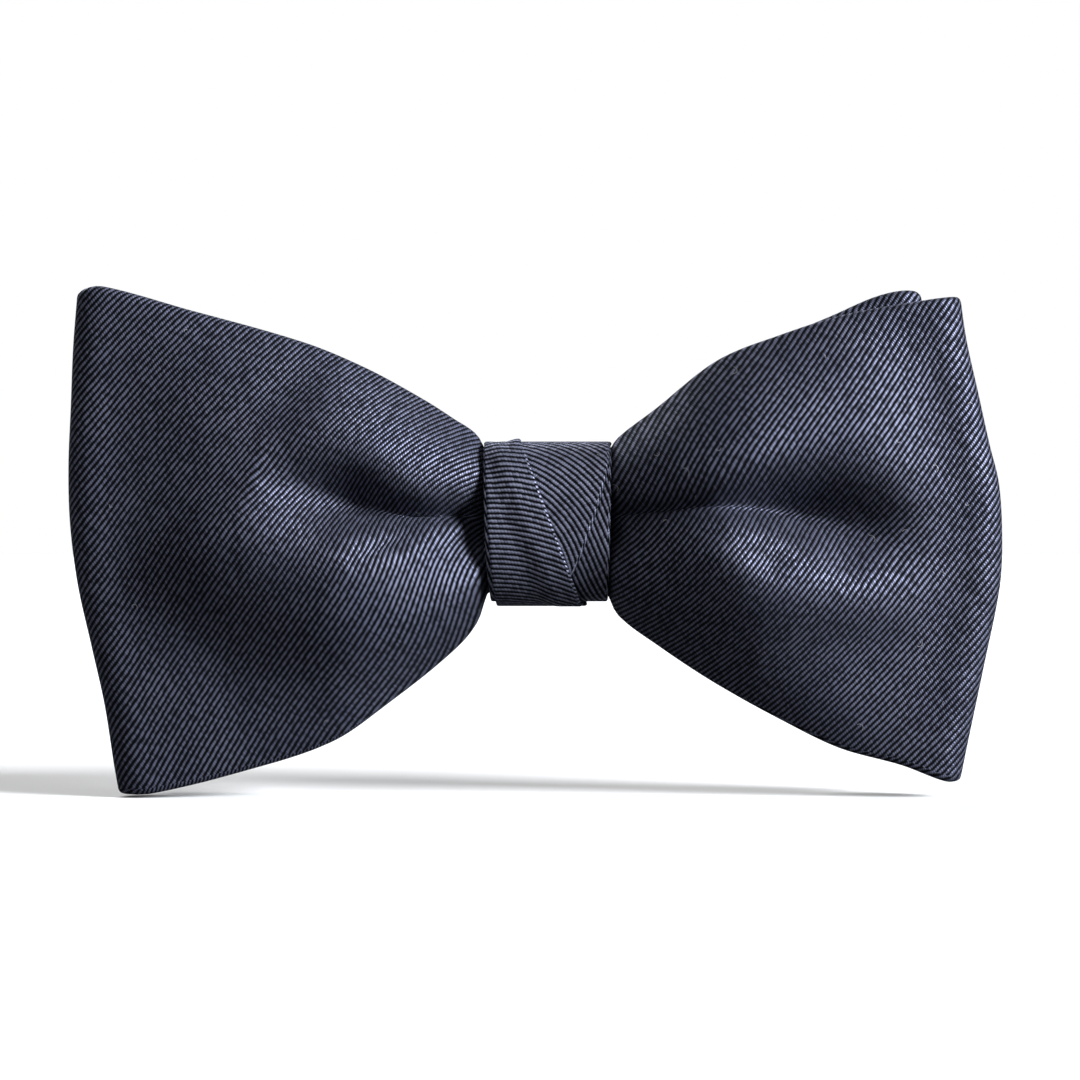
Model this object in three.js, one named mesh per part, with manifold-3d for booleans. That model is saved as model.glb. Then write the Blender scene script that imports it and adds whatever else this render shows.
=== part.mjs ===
// A pre-tied clip-on bow tie: two sewn cloth bows, one behind the other, gathered by a thread
// and held by a knot wrap, with a steel clip stitched to the back of the knot. The clip has
// two sprung jaws, one for each side of a shirt collar.
//
// Millimetres. X runs along the tie to the wearer's left, Y runs back towards the collar and
// Z runs up. The origin is the middle of the clip's seat pad, which rests on the collar.
import * as THREE from "three";
import { mergeVertices } from "three/addons/utils/BufferGeometryUtils.js";
import Module from "manifold-3d";

const wasm = await Module();
wasm.setup();

// ---- Driving dimensions ----

// Wings: where the corners and the tip's middle lie, measured from the middle of the knot.
const FRONT_WINGS = {
  right: { topOut: 52.9, topUp: 29.2, bottomOut: 53.0, bottomDown: 32.9, tipBulge: 5.2 },
  left: { topOut: 59.8, topUp: 30.3, bottomOut: 54.9, bottomDown: 34.6, tipBulge: 3.8 },
};
const REAR_WINGS = {
  right: { topOut: 48.4, topUp: 30.4, bottomOut: 49.5, bottomDown: 30.5, tipBulge: 3.0 },
  left: { topOut: 55.0, topUp: 28.0, bottomOut: 51.0, bottomDown: 32.0, tipBulge: 3.0 },
};

// Cloth layers: each layer of a bow is a flat sleeve of cloth with interlining in it.
const CLOTH = 0.3;
const INTERLINING = 0.5;
const LINING_GAP = 0.1;
const LAYER_GAP = 0.3;
const BOW_GAP = 0.7; // between the two bows
const SEWN_END_GAP = 0.8; // between the two ends of a bow's strip, behind the knot
const SLEEVE_HOLD = 0.7; // how far inside the knot's side the sleeve starts to widen

// Gather at the knot.
const PINCH_HEIGHT = 16.9;
const PLEAT_DEPTH = 3.4; // from the top of a pleat to the bottom of a valley
const PLEAT_TURN = 0.85 * 2 * Math.PI; // of the pleats' wave, from a sleeve's middle to its edge
const PLEAT_REACH = 0.5; // share of the wing over which the pleats flatten out
const SETTLE_REACH = 0.45; // share of the wing over which the leaves reach the tip's depths
const FRONT_PUFF = 2.6; // how far a front leaf stands out between knot and tip
const REAR_PUFF = 0.4; // how far the rearmost leaf stands back
const TIP_BACK = 0.5; // how far the rear bow's tips lie behind the gather's rear layer
const TIP_LOOP = 3.4; // between the two leaves of a bow where they meet the tip's fold
const BOW_SPACING = 2.8; // between the middles of the two leaves that face each other

// Thread and knot wrap.
const THREAD = 0.6;
const THREAD_GAP = 0.3;
const THREAD_TURNS = 3;
const THREAD_PITCH = 1.3;
const THREAD_CORNER = 2.1125; // gather's height over the squareness of the thread's turns
const KNOT_WIDTH = 16.3;
const WRAP = 1.3;
const KNOT_CORNER = 3.6;
const PLEAT_PLY = 0.9; // each fold laid over the front of the wrap

// Clip.
const PAD_RISE = 0.5;
const PAD = { width: 4.2, height: 8.4, corner: 1 };
const SHEET = 0.6; // steel of the plate and the jaws
const SEAT_GAP = 0.3;
const PLATE_LENGTH = 54;
const PLATE_CORNER = 2.5;
const JAW_WIDTH = 10.2;
const SIDE_GAP = 0.3; // between a jaw's flange and the plate's ear
const HINGE_OUT = 13;
const HINGE_RISE = 3.0; // hinge axis above the plate
const PIN_RADIUS = 0.75;
const PIN_CLEARANCE = 0.1;
const PIN_HEAD = { radius: 1.25, thickness: 0.5, gap: 0.12 };
const EAR_RADIUS = 1.7;
const EAR_FOOT = 1; // how far an ear widens at its foot, on each side
const FLANGE_RADIUS = 1.7;
const MOUTH_OUT = 12.6; // from the hinge out to the teeth
const TAB_IN = 7.2; // from the hinge in to the end of the thumb tab
const TAB_RISE = 4.0; // the tab's end above the hinge axis
const TOOTH = { count: 5, depth: 0.9, root: 0.6 };
const MOUTH_GAP = 0.3;
const JAW_CORNER = 1.8;
const LIP_TURN = { in: 1.2, rise: 3.1 }; // where the lip has turned over into the arm
const ARM_RISE = 4.3; // of the arm, halfway from the hinge to the mouth
const CROWN = { out: 1.5, in: 2.2 }; // the level part of the jaw over its hinge
const FLANGE = { out: 4.2, rise: 4.6, in: 3.4, tail: 0.2 };

// Torsion springs.
const WIRE = 0.6;
const SPRING_TURNS = 4;
const SPRING_PITCH = 0.85;
const SPRING_CLEARANCE = 0.25; // round the pin
const LEG_GAP = 0.2;
const LEG_ENDS = { plateShort: 2.2, tabShort: 1.2, tabDrop: 1 }; // short of the tab's end

// Stitches that hold the clip, and the seam that closes the wrap.
const STITCH = { thread: 0.7, out: 3.7, height: 6.4, clearance: 0.2, corner: 0.5 };
const STITCH_SLACK = { over: 0.15, under: 0.1 }; // over the plate and under the wrap
const SEAM = { thread: 0.5, down: 8.4, rise: 1.6, count: 7, clearance: 0.15, margin: 1.4 };

// ---- Places that follow from them ----

const SIDES = { right: 1, left: -1 };
const layer = 2 * (CLOTH + LINING_GAP) + INTERLINING;
const threadRoom = THREAD + 2 * THREAD_GAP;
const plateRear = -PAD_RISE;
const plateFront = plateRear - SHEET;
const knotRear = plateFront - SEAT_GAP;
const bundleRear = knotRear - WRAP - threadRoom;
const bundleDepth = 4 * layer + 2 * LAYER_GAP + BOW_GAP + PLEAT_DEPTH;
const bundleFront = bundleRear - bundleDepth;
const knotFront = bundleFront - threadRoom - WRAP;
const knotMiddle = (knotRear + knotFront) / 2;
const knotHeight = PINCH_HEIGHT + 2 * (threadRoom + WRAP);
const layerPitch = layer + LAYER_GAP;
const hingeY = plateRear + HINGE_RISE;
const plateHeight = JAW_WIDTH + 2 * (SIDE_GAP + SHEET);

// Where the middle of each leaf lies in depth, in the gather and at the tip.
const rearmost = bundleRear - (PLEAT_DEPTH + layer) / 2;
const tipRear = bundleRear - layer / 2 + TIP_BACK;
const LEAVES = {
  rearBack: { atKnot: rearmost, atTip: tipRear, puff: REAR_PUFF },
  rearFront: { atKnot: rearmost - layerPitch, atTip: tipRear - TIP_LOOP, puff: 0 },
  frontBack: {
    atKnot: rearmost - layerPitch - layer - BOW_GAP,
    atTip: tipRear - TIP_LOOP - BOW_SPACING,
    puff: 0,
  },
  frontFront: {
    atKnot: rearmost - 2 * layerPitch - layer - BOW_GAP,
    atTip: tipRear - 2 * TIP_LOOP - BOW_SPACING,
    puff: -FRONT_PUFF,
  },
};

// ---- Materials ----

const twill = new THREE.MeshStandardMaterial({ color: 0x26282f, roughness: 0.55 });
const liningFelt = new THREE.MeshStandardMaterial({ color: 0xd8d4c8, roughness: 0.95 });
const blackThread = new THREE.MeshStandardMaterial({ color: 0x14151a, roughness: 0.7 });
const nickel = new THREE.MeshStandardMaterial({ color: 0xb9bbbd, roughness: 0.3, metalness: 1 });
const springSteel = new THREE.MeshStandardMaterial({
  color: 0x8d9093,
  roughness: 0.35,
  metalness: 1,
});

// ---- Shape helpers ----

const smoothStep = THREE.MathUtils.smoothstep;
const mix = THREE.MathUtils.lerp;
const quarterTurn = Math.PI / 2;

// Height of a smooth curve through [x, height] points, flat at its first point.
function curveHeight(points, x) {
  const last = points.length - 1;
  let i = 0;
  while (i < last - 1 && x > points[i + 1][0]) i += 1;
  const slope = (k) => {
    if (k === 0) return 0;
    const [a, b] = [points[k - 1], points[Math.min(k + 1, last)]];
    return (b[1] - a[1]) / (b[0] - a[0]);
  };
  const [[x0, y0], [x1, y1]] = [points[i], points[i + 1]];
  const width = x1 - x0;
  const t = THREE.MathUtils.clamp((x - x0) / width, 0, 1);
  const [t2, t3] = [t * t, t * t * t];
  return (
    (2 * t3 - 3 * t2 + 1) * y0 +
    (t3 - 2 * t2 + t) * width * slope(i) +
    (3 * t2 - 2 * t3) * y1 +
    (t3 - t2) * width * slope(i + 1)
  );
}

// A closed skin over rings of points. A hollow skin joins its last ring to its first; a solid
// one is closed by a cap at each end, across the ring from one row to the row behind it. Every
// square is split by the diagonal that rises away from the middle of the tie, so that layers
// which lie on each other have the same facets.
function skinGeometry(rings, hollow) {
  const count = rings[0].length;
  const faces = [];
  const quad = (a, b, c, d) => faces.push(a, b, c, a, c, d);
  const spans = hollow ? rings.length : rings.length - 1;
  for (let i = 0; i < spans; i += 1) {
    const after = (i + 1) % rings.length;
    const [here, next] = [i * count, after * count];
    for (let j = 0; j < count; j += 1) {
      const k = (j + 1) % count;
      const leavesMiddle = Math.abs(rings[after][j].x) > Math.abs(rings[i][j].x);
      const rises = rings[i][k].z > rings[i][j].z;
      if (leavesMiddle === rises) quad(here + j, here + k, next + k, next + j);
      else quad(here + k, next + k, next + j, here + j);
    }
  }
  if (!hollow) {
    const end = (rings.length - 1) * count;
    for (let j = 0; j < count / 2 - 1; j += 1) {
      const [low, high] = [j, count - 1 - j];
      quad(low, high, high - 1, low + 1);
      quad(end + high, end + low, end + low + 1, end + high - 1);
    }
  }
  const geometry = new THREE.BufferGeometry();
  const places = rings.flat().flatMap((p) => [p.x, p.y, p.z]);
  geometry.setAttribute("position", new THREE.Float32BufferAttribute(places, 3));
  geometry.setIndex(faces);
  geometry.computeVertexNormals();
  return geometry;
}

// A round section swept along a smooth path through points.
function sweptRod(points, radius, steps, sides = 8, tension = 0.5) {
  const section = new THREE.Shape();
  for (let i = 0; i < sides; i += 1) {
    const angle = (i / sides) * 2 * Math.PI;
    const [x, y] = [radius * Math.cos(angle), radius * Math.sin(angle)];
    if (i) section.lineTo(x, y);
    else section.moveTo(x, y);
  }
  const extrudePath = new THREE.CatmullRomCurve3(points, false, "catmullrom", tension);
  return new THREE.ExtrudeGeometry(section, { steps, extrudePath, bevelEnabled: false });
}

// A rectangle with round corners about the origin.
function roundedRectangle(width, height, radius, target = new THREE.Shape()) {
  const [x, y] = [width / 2 - radius, height / 2 - radius];
  target.moveTo(-x, -y - radius);
  target.lineTo(x, -y - radius);
  target.absarc(x, -y, radius, -quarterTurn, 0);
  target.lineTo(x + radius, y);
  target.absarc(x, y, radius, 0, quarterTurn);
  target.lineTo(-x, y + radius);
  target.absarc(-x, y, radius, quarterTurn, 2 * quarterTurn);
  target.lineTo(-x - radius, -y);
  target.absarc(-x, -y, radius, 2 * quarterTurn, 3 * quarterTurn);
  return target;
}

function roundHole(x, y, radius) {
  return new THREE.Path().absarc(x, y, radius, 0, 2 * Math.PI, true);
}

// Extrusions whose flat outline is drawn in the XZ, XY or YZ plane.
function alongY(shape, from, to, curveSegments = 6) {
  const depth = to - from;
  const geometry = new THREE.ExtrudeGeometry(shape, {
    depth,
    curveSegments,
    bevelEnabled: false,
  });
  return geometry.rotateX(quarterTurn).translate(0, to, 0);
}

function alongZ(shape, from, to, curveSegments = 6) {
  const options = { depth: to - from, curveSegments, bevelEnabled: false };
  return new THREE.ExtrudeGeometry(shape, options).translate(0, 0, from);
}

// The outline's first axis becomes Y and its second becomes Z.
function alongX(shape, from, to, curveSegments = 6) {
  const options = { depth: to - from, curveSegments, bevelEnabled: false };
  const turned = new THREE.Matrix4().set(0, 0, 1, from, 1, 0, 0, 0, 0, 1, 0, 0, 0, 0, 0, 1);
  return new THREE.ExtrudeGeometry(shape, options).applyMatrix4(turned);
}

function toSolid(geometry) {
  const bare = geometry.clone();
  bare.deleteAttribute("normal");
  bare.deleteAttribute("uv");
  const merged = mergeVertices(bare, 1e-4);
  return new wasm.Manifold(
    new wasm.Mesh({
      numProp: 3,
      vertProperties: merged.attributes.position.array,
      triVerts: new Uint32Array(merged.index.array),
    }),
  );
}

function toGeometry(solid) {
  const { vertProperties, triVerts } = solid.getMesh();
  const geometry = new THREE.BufferGeometry();
  geometry.setAttribute("position", new THREE.Float32BufferAttribute(vertProperties, 3));
  geometry.setIndex(new THREE.BufferAttribute(triVerts, 1));
  geometry.computeVertexNormals();
  return geometry;
}

function joined(geometries) {
  return geometries.map(toSolid).reduce((a, b) => a.add(b));
}

const tie = new THREE.Group();

function addPart(name, geometry, material) {
  const mesh = new THREE.Mesh(geometry, material);
  mesh.name = name;
  tie.add(mesh);
  return mesh;
}

// ---- The two bows ----

// An edge of a wing from the gather to the tip's corner. The shape's points are shares of the
// way out and of the way up from the pinched height to the corner.
const EDGE_SHAPES = {
  right: {
    top: [[0.134, 0.311], [0.304, 0.605], [0.559, 0.817]],
    bottom: [[0.134, 0.292], [0.388, 0.587], [0.643, 0.824]],
  },
  left: {
    top: [[0.08, 0.24], [0.303, 0.536], [0.6, 0.775]],
    bottom: [[0.088, 0.3], [0.251, 0.54], [0.496, 0.823], [0.74, 0.919]],
  },
};
const knotSide = KNOT_WIDTH / 2;
const foldReach = TIP_LOOP / 2 + layer / 2;
const COLUMNS = 9;
const PINCH_STEPS = 2;
const LEAF_STEPS = 6;
const FOLD_STEPS = 4;

function edgePoints(shape, out, up) {
  const low = PINCH_HEIGHT / 2;
  const spot = ([along, rise]) => [mix(knotSide, out, along), mix(low, up, rise)];
  return [[0, low], [knotSide - SLEEVE_HOLD, low], ...shape.map(spot), [out, up]];
}

// Distance out at t, which runs from -1 in the middle of the knot through 0 at the knot's side
// to 1 at the tip.
function outAt(t, tipOut) {
  return t < 0 ? knotSide * (1 + t) : mix(knotSide, tipOut, t);
}

// One point in the middle of a leaf at t and v of the way up (-1 to 1).
function leafPoint(wing, side, leaf, t, v) {
  const shapes = EDGE_SHAPES[side];
  const top = edgePoints(shapes.top, wing.topOut, wing.topUp);
  const bottom = edgePoints(shapes.bottom, wing.bottomOut, wing.bottomDown);
  const share = (v + 1) / 2;
  const height = mix(
    -curveHeight(bottom, outAt(t, wing.bottomOut)),
    curveHeight(top, outAt(t, wing.topOut)),
    share,
  );
  const depth = mix(leaf.atKnot, leaf.atTip, smoothStep(t, 0, SETTLE_REACH));
  const held = 1 - smoothStep(t, 0, PLEAT_REACH);
  const pleat = (PLEAT_DEPTH / 2) * Math.cos(PLEAT_TURN * v) * held;
  const puff = t > 0 ? leaf.puff * Math.sin(Math.PI * t) * (1 - v * v) : 0;
  const bulge = t > 0 ? wing.tipBulge * t * t * (1 - v * v) : 0;
  const out = outAt(t, mix(wing.bottomOut, wing.topOut, share) - foldReach);
  return new THREE.Vector3(SIDES[side] * (out + bulge), depth + pleat + puff, height);
}

// A bow's strip from one sewn end round both tips to the other: at each station, the point at
// height v in the middle of the layer and the direction out of the loop.
function bowStations(wings, back, front) {
  const toFront = new THREE.Vector3(0, -1, 0);
  const toBack = new THREE.Vector3(0, 1, 0);
  const loopMiddle = (back.atTip + front.atTip) / 2;
  const wingStations = (side) => {
    const wing = wings[side];
    const along = (leaf, from, outward) => {
      const pinch = Array.from({ length: PINCH_STEPS }, (_, i) => mix(from, 0, i / PINCH_STEPS));
      const open = Array.from({ length: LEAF_STEPS + 1 }, (_, i) => i / LEAF_STEPS);
      return [...pinch, ...open].map((t) => ({
        at: (v) => leafPoint(wing, side, leaf, t, v),
        outward,
      }));
    };
    const fold = Array.from({ length: FOLD_STEPS - 1 }, (_, i) => {
      const angle = quarterTurn * (1 - (2 * (i + 1)) / FOLD_STEPS);
      const outward = new THREE.Vector3(SIDES[side] * Math.cos(angle), Math.sin(angle), 0);
      const at = (v) => {
        const end = leafPoint(wing, side, back, 1, v).setY(loopMiddle);
        return end.addScaledVector(outward, TIP_LOOP / 2);
      };
      return { at, outward };
    });
    const sewnEnd = SEWN_END_GAP / 2 / knotSide - 1;
    return [...along(back, sewnEnd, toBack), ...fold, ...along(front, -1, toFront).reverse()];
  };
  const left = wingStations("left").reverse();
  return [...wingStations("right"), ...left.slice(1)];
}

// A ring of points round a layer: up its outer face and down its inner one.
function layerRing(station, thickness, inset) {
  const last = COLUMNS - 1;
  const row = Array.from({ length: COLUMNS }, (_, i) => station.at(mix(-1, 1, i / last)));
  row[0].lerp(row[1], inset / (row[1].z - row[0].z));
  row[last].lerp(row[last - 1], inset / (row[last].z - row[last - 1].z));
  const moved = (face) =>
    row.map((p) => p.clone().addScaledVector(station.outward, (face * thickness) / 2));
  return [...moved(1), ...moved(-1).reverse()];
}

function addBow(name, wings, back, front) {
  const stations = bowStations(wings, back, front);
  const rings = (thickness, inset, list) => list.map((s) => layerRing(s, thickness, inset));
  const outer = rings(layer, 0, stations);
  const inner = rings(layer - 2 * CLOTH, CLOTH, stations);
  addPart(name + "_cloth", skinGeometry([...outer, ...inner.reverse()], true), twill);
  const filling = stations.slice(1, -1);
  const lining = rings(INTERLINING, CLOTH + LINING_GAP, filling);
  addPart(name + "_interlining", skinGeometry(lining, false), liningFelt);
}

addBow("front_bow", FRONT_WINGS, LEAVES.frontBack, LEAVES.frontFront);
addBow("rear_bow", REAR_WINGS, LEAVES.rearBack, LEAVES.rearFront);

// ---- Gathering thread ----

// A superellipse is the shape that a pulled thread takes round the pleats. It grows squarer
// with the gather's height, so that it clears the gather's corners by as much.
const threadSquareness = PINCH_HEIGHT / THREAD_CORNER;

function threadPoint(turn) {
  const angle = 2 * Math.PI * turn;
  const squared = (value) => Math.sign(value) * Math.abs(value) ** (2 / threadSquareness);
  const reach = THREAD / 2 + THREAD_GAP;
  return new THREE.Vector3(
    (turn - THREAD_TURNS / 2) * THREAD_PITCH,
    (bundleRear + bundleFront) / 2 + (bundleDepth / 2 + reach) * squared(Math.cos(angle)),
    (PINCH_HEIGHT / 2 + reach) * squared(Math.sin(angle)),
  );
}

const THREAD_STEPS_PER_TURN = 24;
const threadSteps = THREAD_TURNS * THREAD_STEPS_PER_TURN;
const threadPath = Array.from({ length: threadSteps + 1 }, (_, i) =>
  threadPoint(i / THREAD_STEPS_PER_TURN),
);
addPart("gathering_thread", sweptRod(threadPath, THREAD / 2, threadSteps, 6), blackThread);

// ---- Knot wrap, with two folds laid over its front ----

function wrapTube() {
  const [depth, height] = [knotRear - knotFront, knotHeight];
  const shape = roundedRectangle(depth, height, KNOT_CORNER);
  const innerDepth = depth - 2 * WRAP;
  const innerHeight = height - 2 * WRAP;
  shape.holes.push(
    roundedRectangle(innerDepth, innerHeight, KNOT_CORNER - WRAP, new THREE.Path()),
  );
  return alongX(shape, -KNOT_WIDTH / 2, KNOT_WIDTH / 2).translate(0, knotMiddle, 0);
}

// A fold's outline on the front of the wrap, as shares of the flat's half width and height.
function wrapFold(corners, plies) {
  const flat = knotHeight / 2 - KNOT_CORNER;
  const spot = ([across, up]) => new THREE.Vector2((across * KNOT_WIDTH) / 2, up * flat);
  const front = knotFront - plies * PLEAT_PLY;
  return alongY(flipped(new THREE.Shape(corners.map(spot))), front, knotFront + WRAP / 2);
}

// alongY turns an outline upside down, so one that isn't symmetric is mirrored first.
function flipped(shape) {
  return new THREE.Shape(shape.getPoints().map((p) => new THREE.Vector2(p.x, -p.y)).reverse());
}

const MIDDLE_FOLD = [[-0.6, 1], [0.4, -1], [0.5, -1], [0.98, 0.8], [0.98, 1]];
const OUTER_FOLD = [[-0.98, 1], [-0.98, -1], [0.4, -1], [-0.6, 1]];

function stitchHoles(sign) {
  const radius = STITCH.thread / 2 + STITCH.clearance;
  const hole = (up) =>
    alongY(
      new THREE.Shape().absarc(sign * STITCH.out, up, radius, 0, 2 * Math.PI),
      bundleRear - WRAP,
      plateFront,
      3,
    );
  return [STITCH.height / 2, -STITCH.height / 2].map(hole);
}

function seamChannel() {
  const room = SEAM.thread / 2 + SEAM.clearance;
  const shape = roundedRectangle(
    2 * seamHalfWidth + 2 * room,
    SEAM.rise + 2 * room,
    room,
  );
  const channel = alongY(shape, knotRear - SEAM.thread / 2 - SEAM.clearance, knotRear + 1);
  return channel.translate(0, 0, -SEAM.down);
}

const seamHalfWidth = KNOT_WIDTH / 2 - SEAM.margin;

function knotWrap() {
  let wrap = joined([wrapTube(), wrapFold(MIDDLE_FOLD, 1), wrapFold(OUTER_FOLD, 2)]);
  for (const sign of [1, -1])
    for (const hole of stitchHoles(sign)) wrap = wrap.subtract(toSolid(hole));
  return toGeometry(wrap.subtract(toSolid(seamChannel())));
}

addPart("knot_wrap", knotWrap(), twill);

// The seam's thread goes up and down across the wrap's end, half sunk in the seam.
function seamThread() {
  const points = Array.from({ length: 2 * SEAM.count + 1 }, (_, i) => {
    const x = mix(-seamHalfWidth, seamHalfWidth, i / (2 * SEAM.count));
    const z = (i % 2 ? 0.5 : -0.5) * SEAM.rise - SEAM.down;
    return new THREE.Vector3(x, knotRear, z);
  });
  return sweptRod(points, SEAM.thread / 2, 4 * SEAM.count, 6, 0.3);
}

addPart("wrap_seam_thread", seamThread(), blackThread);

// ---- Clip ----

function earOutline(foot) {
  const shape = new THREE.Shape();
  const half = EAR_RADIUS + EAR_FOOT;
  shape.moveTo(-half, foot);
  shape.lineTo(half, foot);
  shape.lineTo(EAR_RADIUS, hingeY);
  shape.absarc(0, hingeY, EAR_RADIUS, 0, Math.PI);
  shape.lineTo(-half, foot);
  shape.holes.push(roundHole(0, hingeY, PIN_RADIUS + PIN_CLEARANCE));
  return shape;
}

const earFoot = plateFront + SHEET / 6; // sunk in the plate's sheet

function clipPlate() {
  const outline = roundedRectangle(PLATE_LENGTH, plateHeight, PLATE_CORNER);
  const radius = STITCH.thread / 2 + STITCH.clearance;
  for (const x of [-STITCH.out, STITCH.out])
    for (const z of [-STITCH.height / 2, STITCH.height / 2])
      outline.holes.push(roundHole(x, z, radius));
  const solids = [
    alongY(outline, plateFront, plateRear),
    alongY(roundedRectangle(PAD.width, PAD.height, PAD.corner), plateFront + SHEET / 2, 0),
  ];
  for (const x of [-HINGE_OUT, HINGE_OUT])
    for (const z of [-plateHeight / 2, plateHeight / 2 - SHEET])
      solids.push(alongZ(earOutline(earFoot), z, z + SHEET).translate(x, 0, 0));
  return toGeometry(joined(solids));
}

addPart("clip_plate", clipPlate(), nickel);

// The jaw's sheet in profile, from the teeth over the hinge to the thumb tab. Distances run
// out from the hinge axis and up from the plate.
const jawCrown = HINGE_RISE + PIN_RADIUS + SPRING_CLEARANCE + WIRE + 2 * LEG_GAP + SHEET / 2;
const lipFoot = MOUTH_GAP + TOOTH.depth + TOOTH.root;

function jawProfile() {
  const middle = new THREE.SplineCurve([
    new THREE.Vector2(MOUTH_OUT, lipFoot),
    new THREE.Vector2(MOUTH_OUT - LIP_TURN.in, LIP_TURN.rise),
    new THREE.Vector2(MOUTH_OUT / 2, ARM_RISE),
    new THREE.Vector2(CROWN.out, jawCrown),
    new THREE.Vector2(-CROWN.in, jawCrown),
    new THREE.Vector2(-TAB_IN, HINGE_RISE + TAB_RISE),
  ]);
  const count = 20;
  const row = (offset) =>
    Array.from({ length: count + 1 }, (_, i) => {
      const tangent = middle.getTangent(i / count);
      const point = middle.getPoint(i / count);
      return point.add(new THREE.Vector2(-tangent.y, tangent.x).multiplyScalar(offset));
    });
  return new THREE.Shape([...row(-SHEET / 2), ...row(SHEET / 2).reverse()]);
}

function flangeOutline() {
  const shape = new THREE.Shape();
  shape.moveTo(FLANGE_RADIUS, HINGE_RISE);
  shape.lineTo(FLANGE.out, FLANGE.rise);
  shape.lineTo(CROWN.out, jawCrown);
  shape.lineTo(-CROWN.in, jawCrown);
  shape.lineTo(-FLANGE.in, jawCrown + FLANGE.tail);
  shape.lineTo(-FLANGE_RADIUS, HINGE_RISE);
  shape.absarc(0, HINGE_RISE, FLANGE_RADIUS, Math.PI, 2 * Math.PI);
  shape.holes.push(roundHole(0, HINGE_RISE, PIN_RADIUS + PIN_CLEARANCE));
  return shape;
}

// The lip across the mouth, cut into teeth along its foot.
function toothedLip() {
  const shape = new THREE.Shape();
  const pitch = JAW_WIDTH / TOOTH.count;
  const top = lipFoot + TOOTH.root / 3;
  shape.moveTo(top, JAW_WIDTH / 2);
  shape.lineTo(top, -JAW_WIDTH / 2);
  for (let i = 0; i < TOOTH.count; i += 1) {
    const start = i * pitch - JAW_WIDTH / 2;
    shape.lineTo(MOUTH_GAP + TOOTH.depth, start);
    shape.lineTo(MOUTH_GAP, start + pitch / 2);
  }
  shape.lineTo(MOUTH_GAP + TOOTH.depth, JAW_WIDTH / 2);
  return alongX(shape, MOUTH_OUT - SHEET / 2, MOUTH_OUT + SHEET / 2);
}

// The jaw seen from behind: a rounded thumb tab and softened mouth corners.
function jawPlan() {
  const length = MOUTH_OUT + TAB_IN + 2 * SHEET;
  const shape = roundedRectangle(length, JAW_WIDTH, JAW_CORNER);
  const middle = (MOUTH_OUT - TAB_IN) / 2;
  return alongY(shape, -1, 2 * jawCrown).translate(middle, 0, 0);
}

function jaw() {
  const flange = flangeOutline();
  const half = JAW_WIDTH / 2;
  const sheet = toSolid(alongZ(jawProfile(), -half, half)).intersect(toSolid(jawPlan()));
  const solids = [
    alongZ(flange, half - SHEET, half, 6),
    alongZ(flange, -half, SHEET - half, 6),
    toothedLip(),
  ];
  return toGeometry(solids.map(toSolid).reduce((a, b) => a.add(b), sheet));
}

function hingePin() {
  const { radius, thickness, gap } = PIN_HEAD;
  const seat = plateHeight / 2 + gap;
  const dome = (sign) => [
    new THREE.Vector2(radius, sign * seat),
    new THREE.Vector2(radius * 0.8, sign * (seat + thickness * 0.7)),
    new THREE.Vector2(0, sign * (seat + thickness)),
  ];
  const [low, high] = [dome(-1).reverse(), dome(1)];
  const shaft = [new THREE.Vector2(PIN_RADIUS, -seat), new THREE.Vector2(PIN_RADIUS, seat)];
  return new THREE.LatheGeometry([...low, ...shaft, ...high], 20).rotateX(quarterTurn);
}

// A torsion spring round the pin. One leg rests on the plate and the other under the tab.
function torsionSpring() {
  const coil = PIN_RADIUS + SPRING_CLEARANCE + WIRE / 2;
  const turns = SPRING_TURNS + 0.5;
  const count = Math.round(turns * 9);
  const points = Array.from({ length: count + 1 }, (_, i) => {
    const angle = (i / count) * turns * 2 * Math.PI - quarterTurn;
    const z = (i / count - 0.5) * turns * SPRING_PITCH;
    return new THREE.Vector3(coil * Math.cos(angle), HINGE_RISE + coil * Math.sin(angle), z);
  });
  const [first, last] = [points[0].z, points[count].z];
  const plateLeg = new THREE.Vector3(LEG_ENDS.plateShort - TAB_IN, WIRE / 2 + LEG_GAP, first);
  const tabUnderside = HINGE_RISE + TAB_RISE - SHEET - WIRE / 2 - LEG_GAP;
  const tabFoot = tabUnderside - LEG_ENDS.tabDrop;
  const tabLeg = new THREE.Vector3(LEG_ENDS.tabShort - TAB_IN, tabFoot, last);
  const legs = (leg, root) => [leg, leg.clone().lerp(root, 0.5)];
  return sweptRod(
    [...legs(plateLeg, points[0]), ...points, ...legs(tabLeg, points[count]).reverse()],
    WIRE / 2,
    count + 8,
    6,
  );
}

for (const [side, sign] of Object.entries(SIDES)) {
  const hinge = new THREE.Group();
  hinge.position.set(sign * HINGE_OUT, plateRear, 0);
  // The left side is the right side turned half a turn about Y and then laid on the plate
  // again, which is a mirror image in X for parts that are symmetric in Z.
  const pieces = [
    [side + "_jaw", jaw(), nickel],
    [side + "_spring", torsionSpring(), springSteel],
  ];
  for (const [name, geometry, material] of pieces) {
    const mesh = new THREE.Mesh(geometry, material);
    mesh.name = name;
    if (sign < 0) mesh.rotation.y = Math.PI;
    hinge.add(mesh);
  }
  const pin = new THREE.Mesh(hingePin(), nickel);
  pin.name = side + "_hinge_pin";
  pin.position.y = HINGE_RISE;
  hinge.add(pin);
  tie.add(hinge);
}

// ---- Stitches that hold the clip to the knot ----

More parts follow.
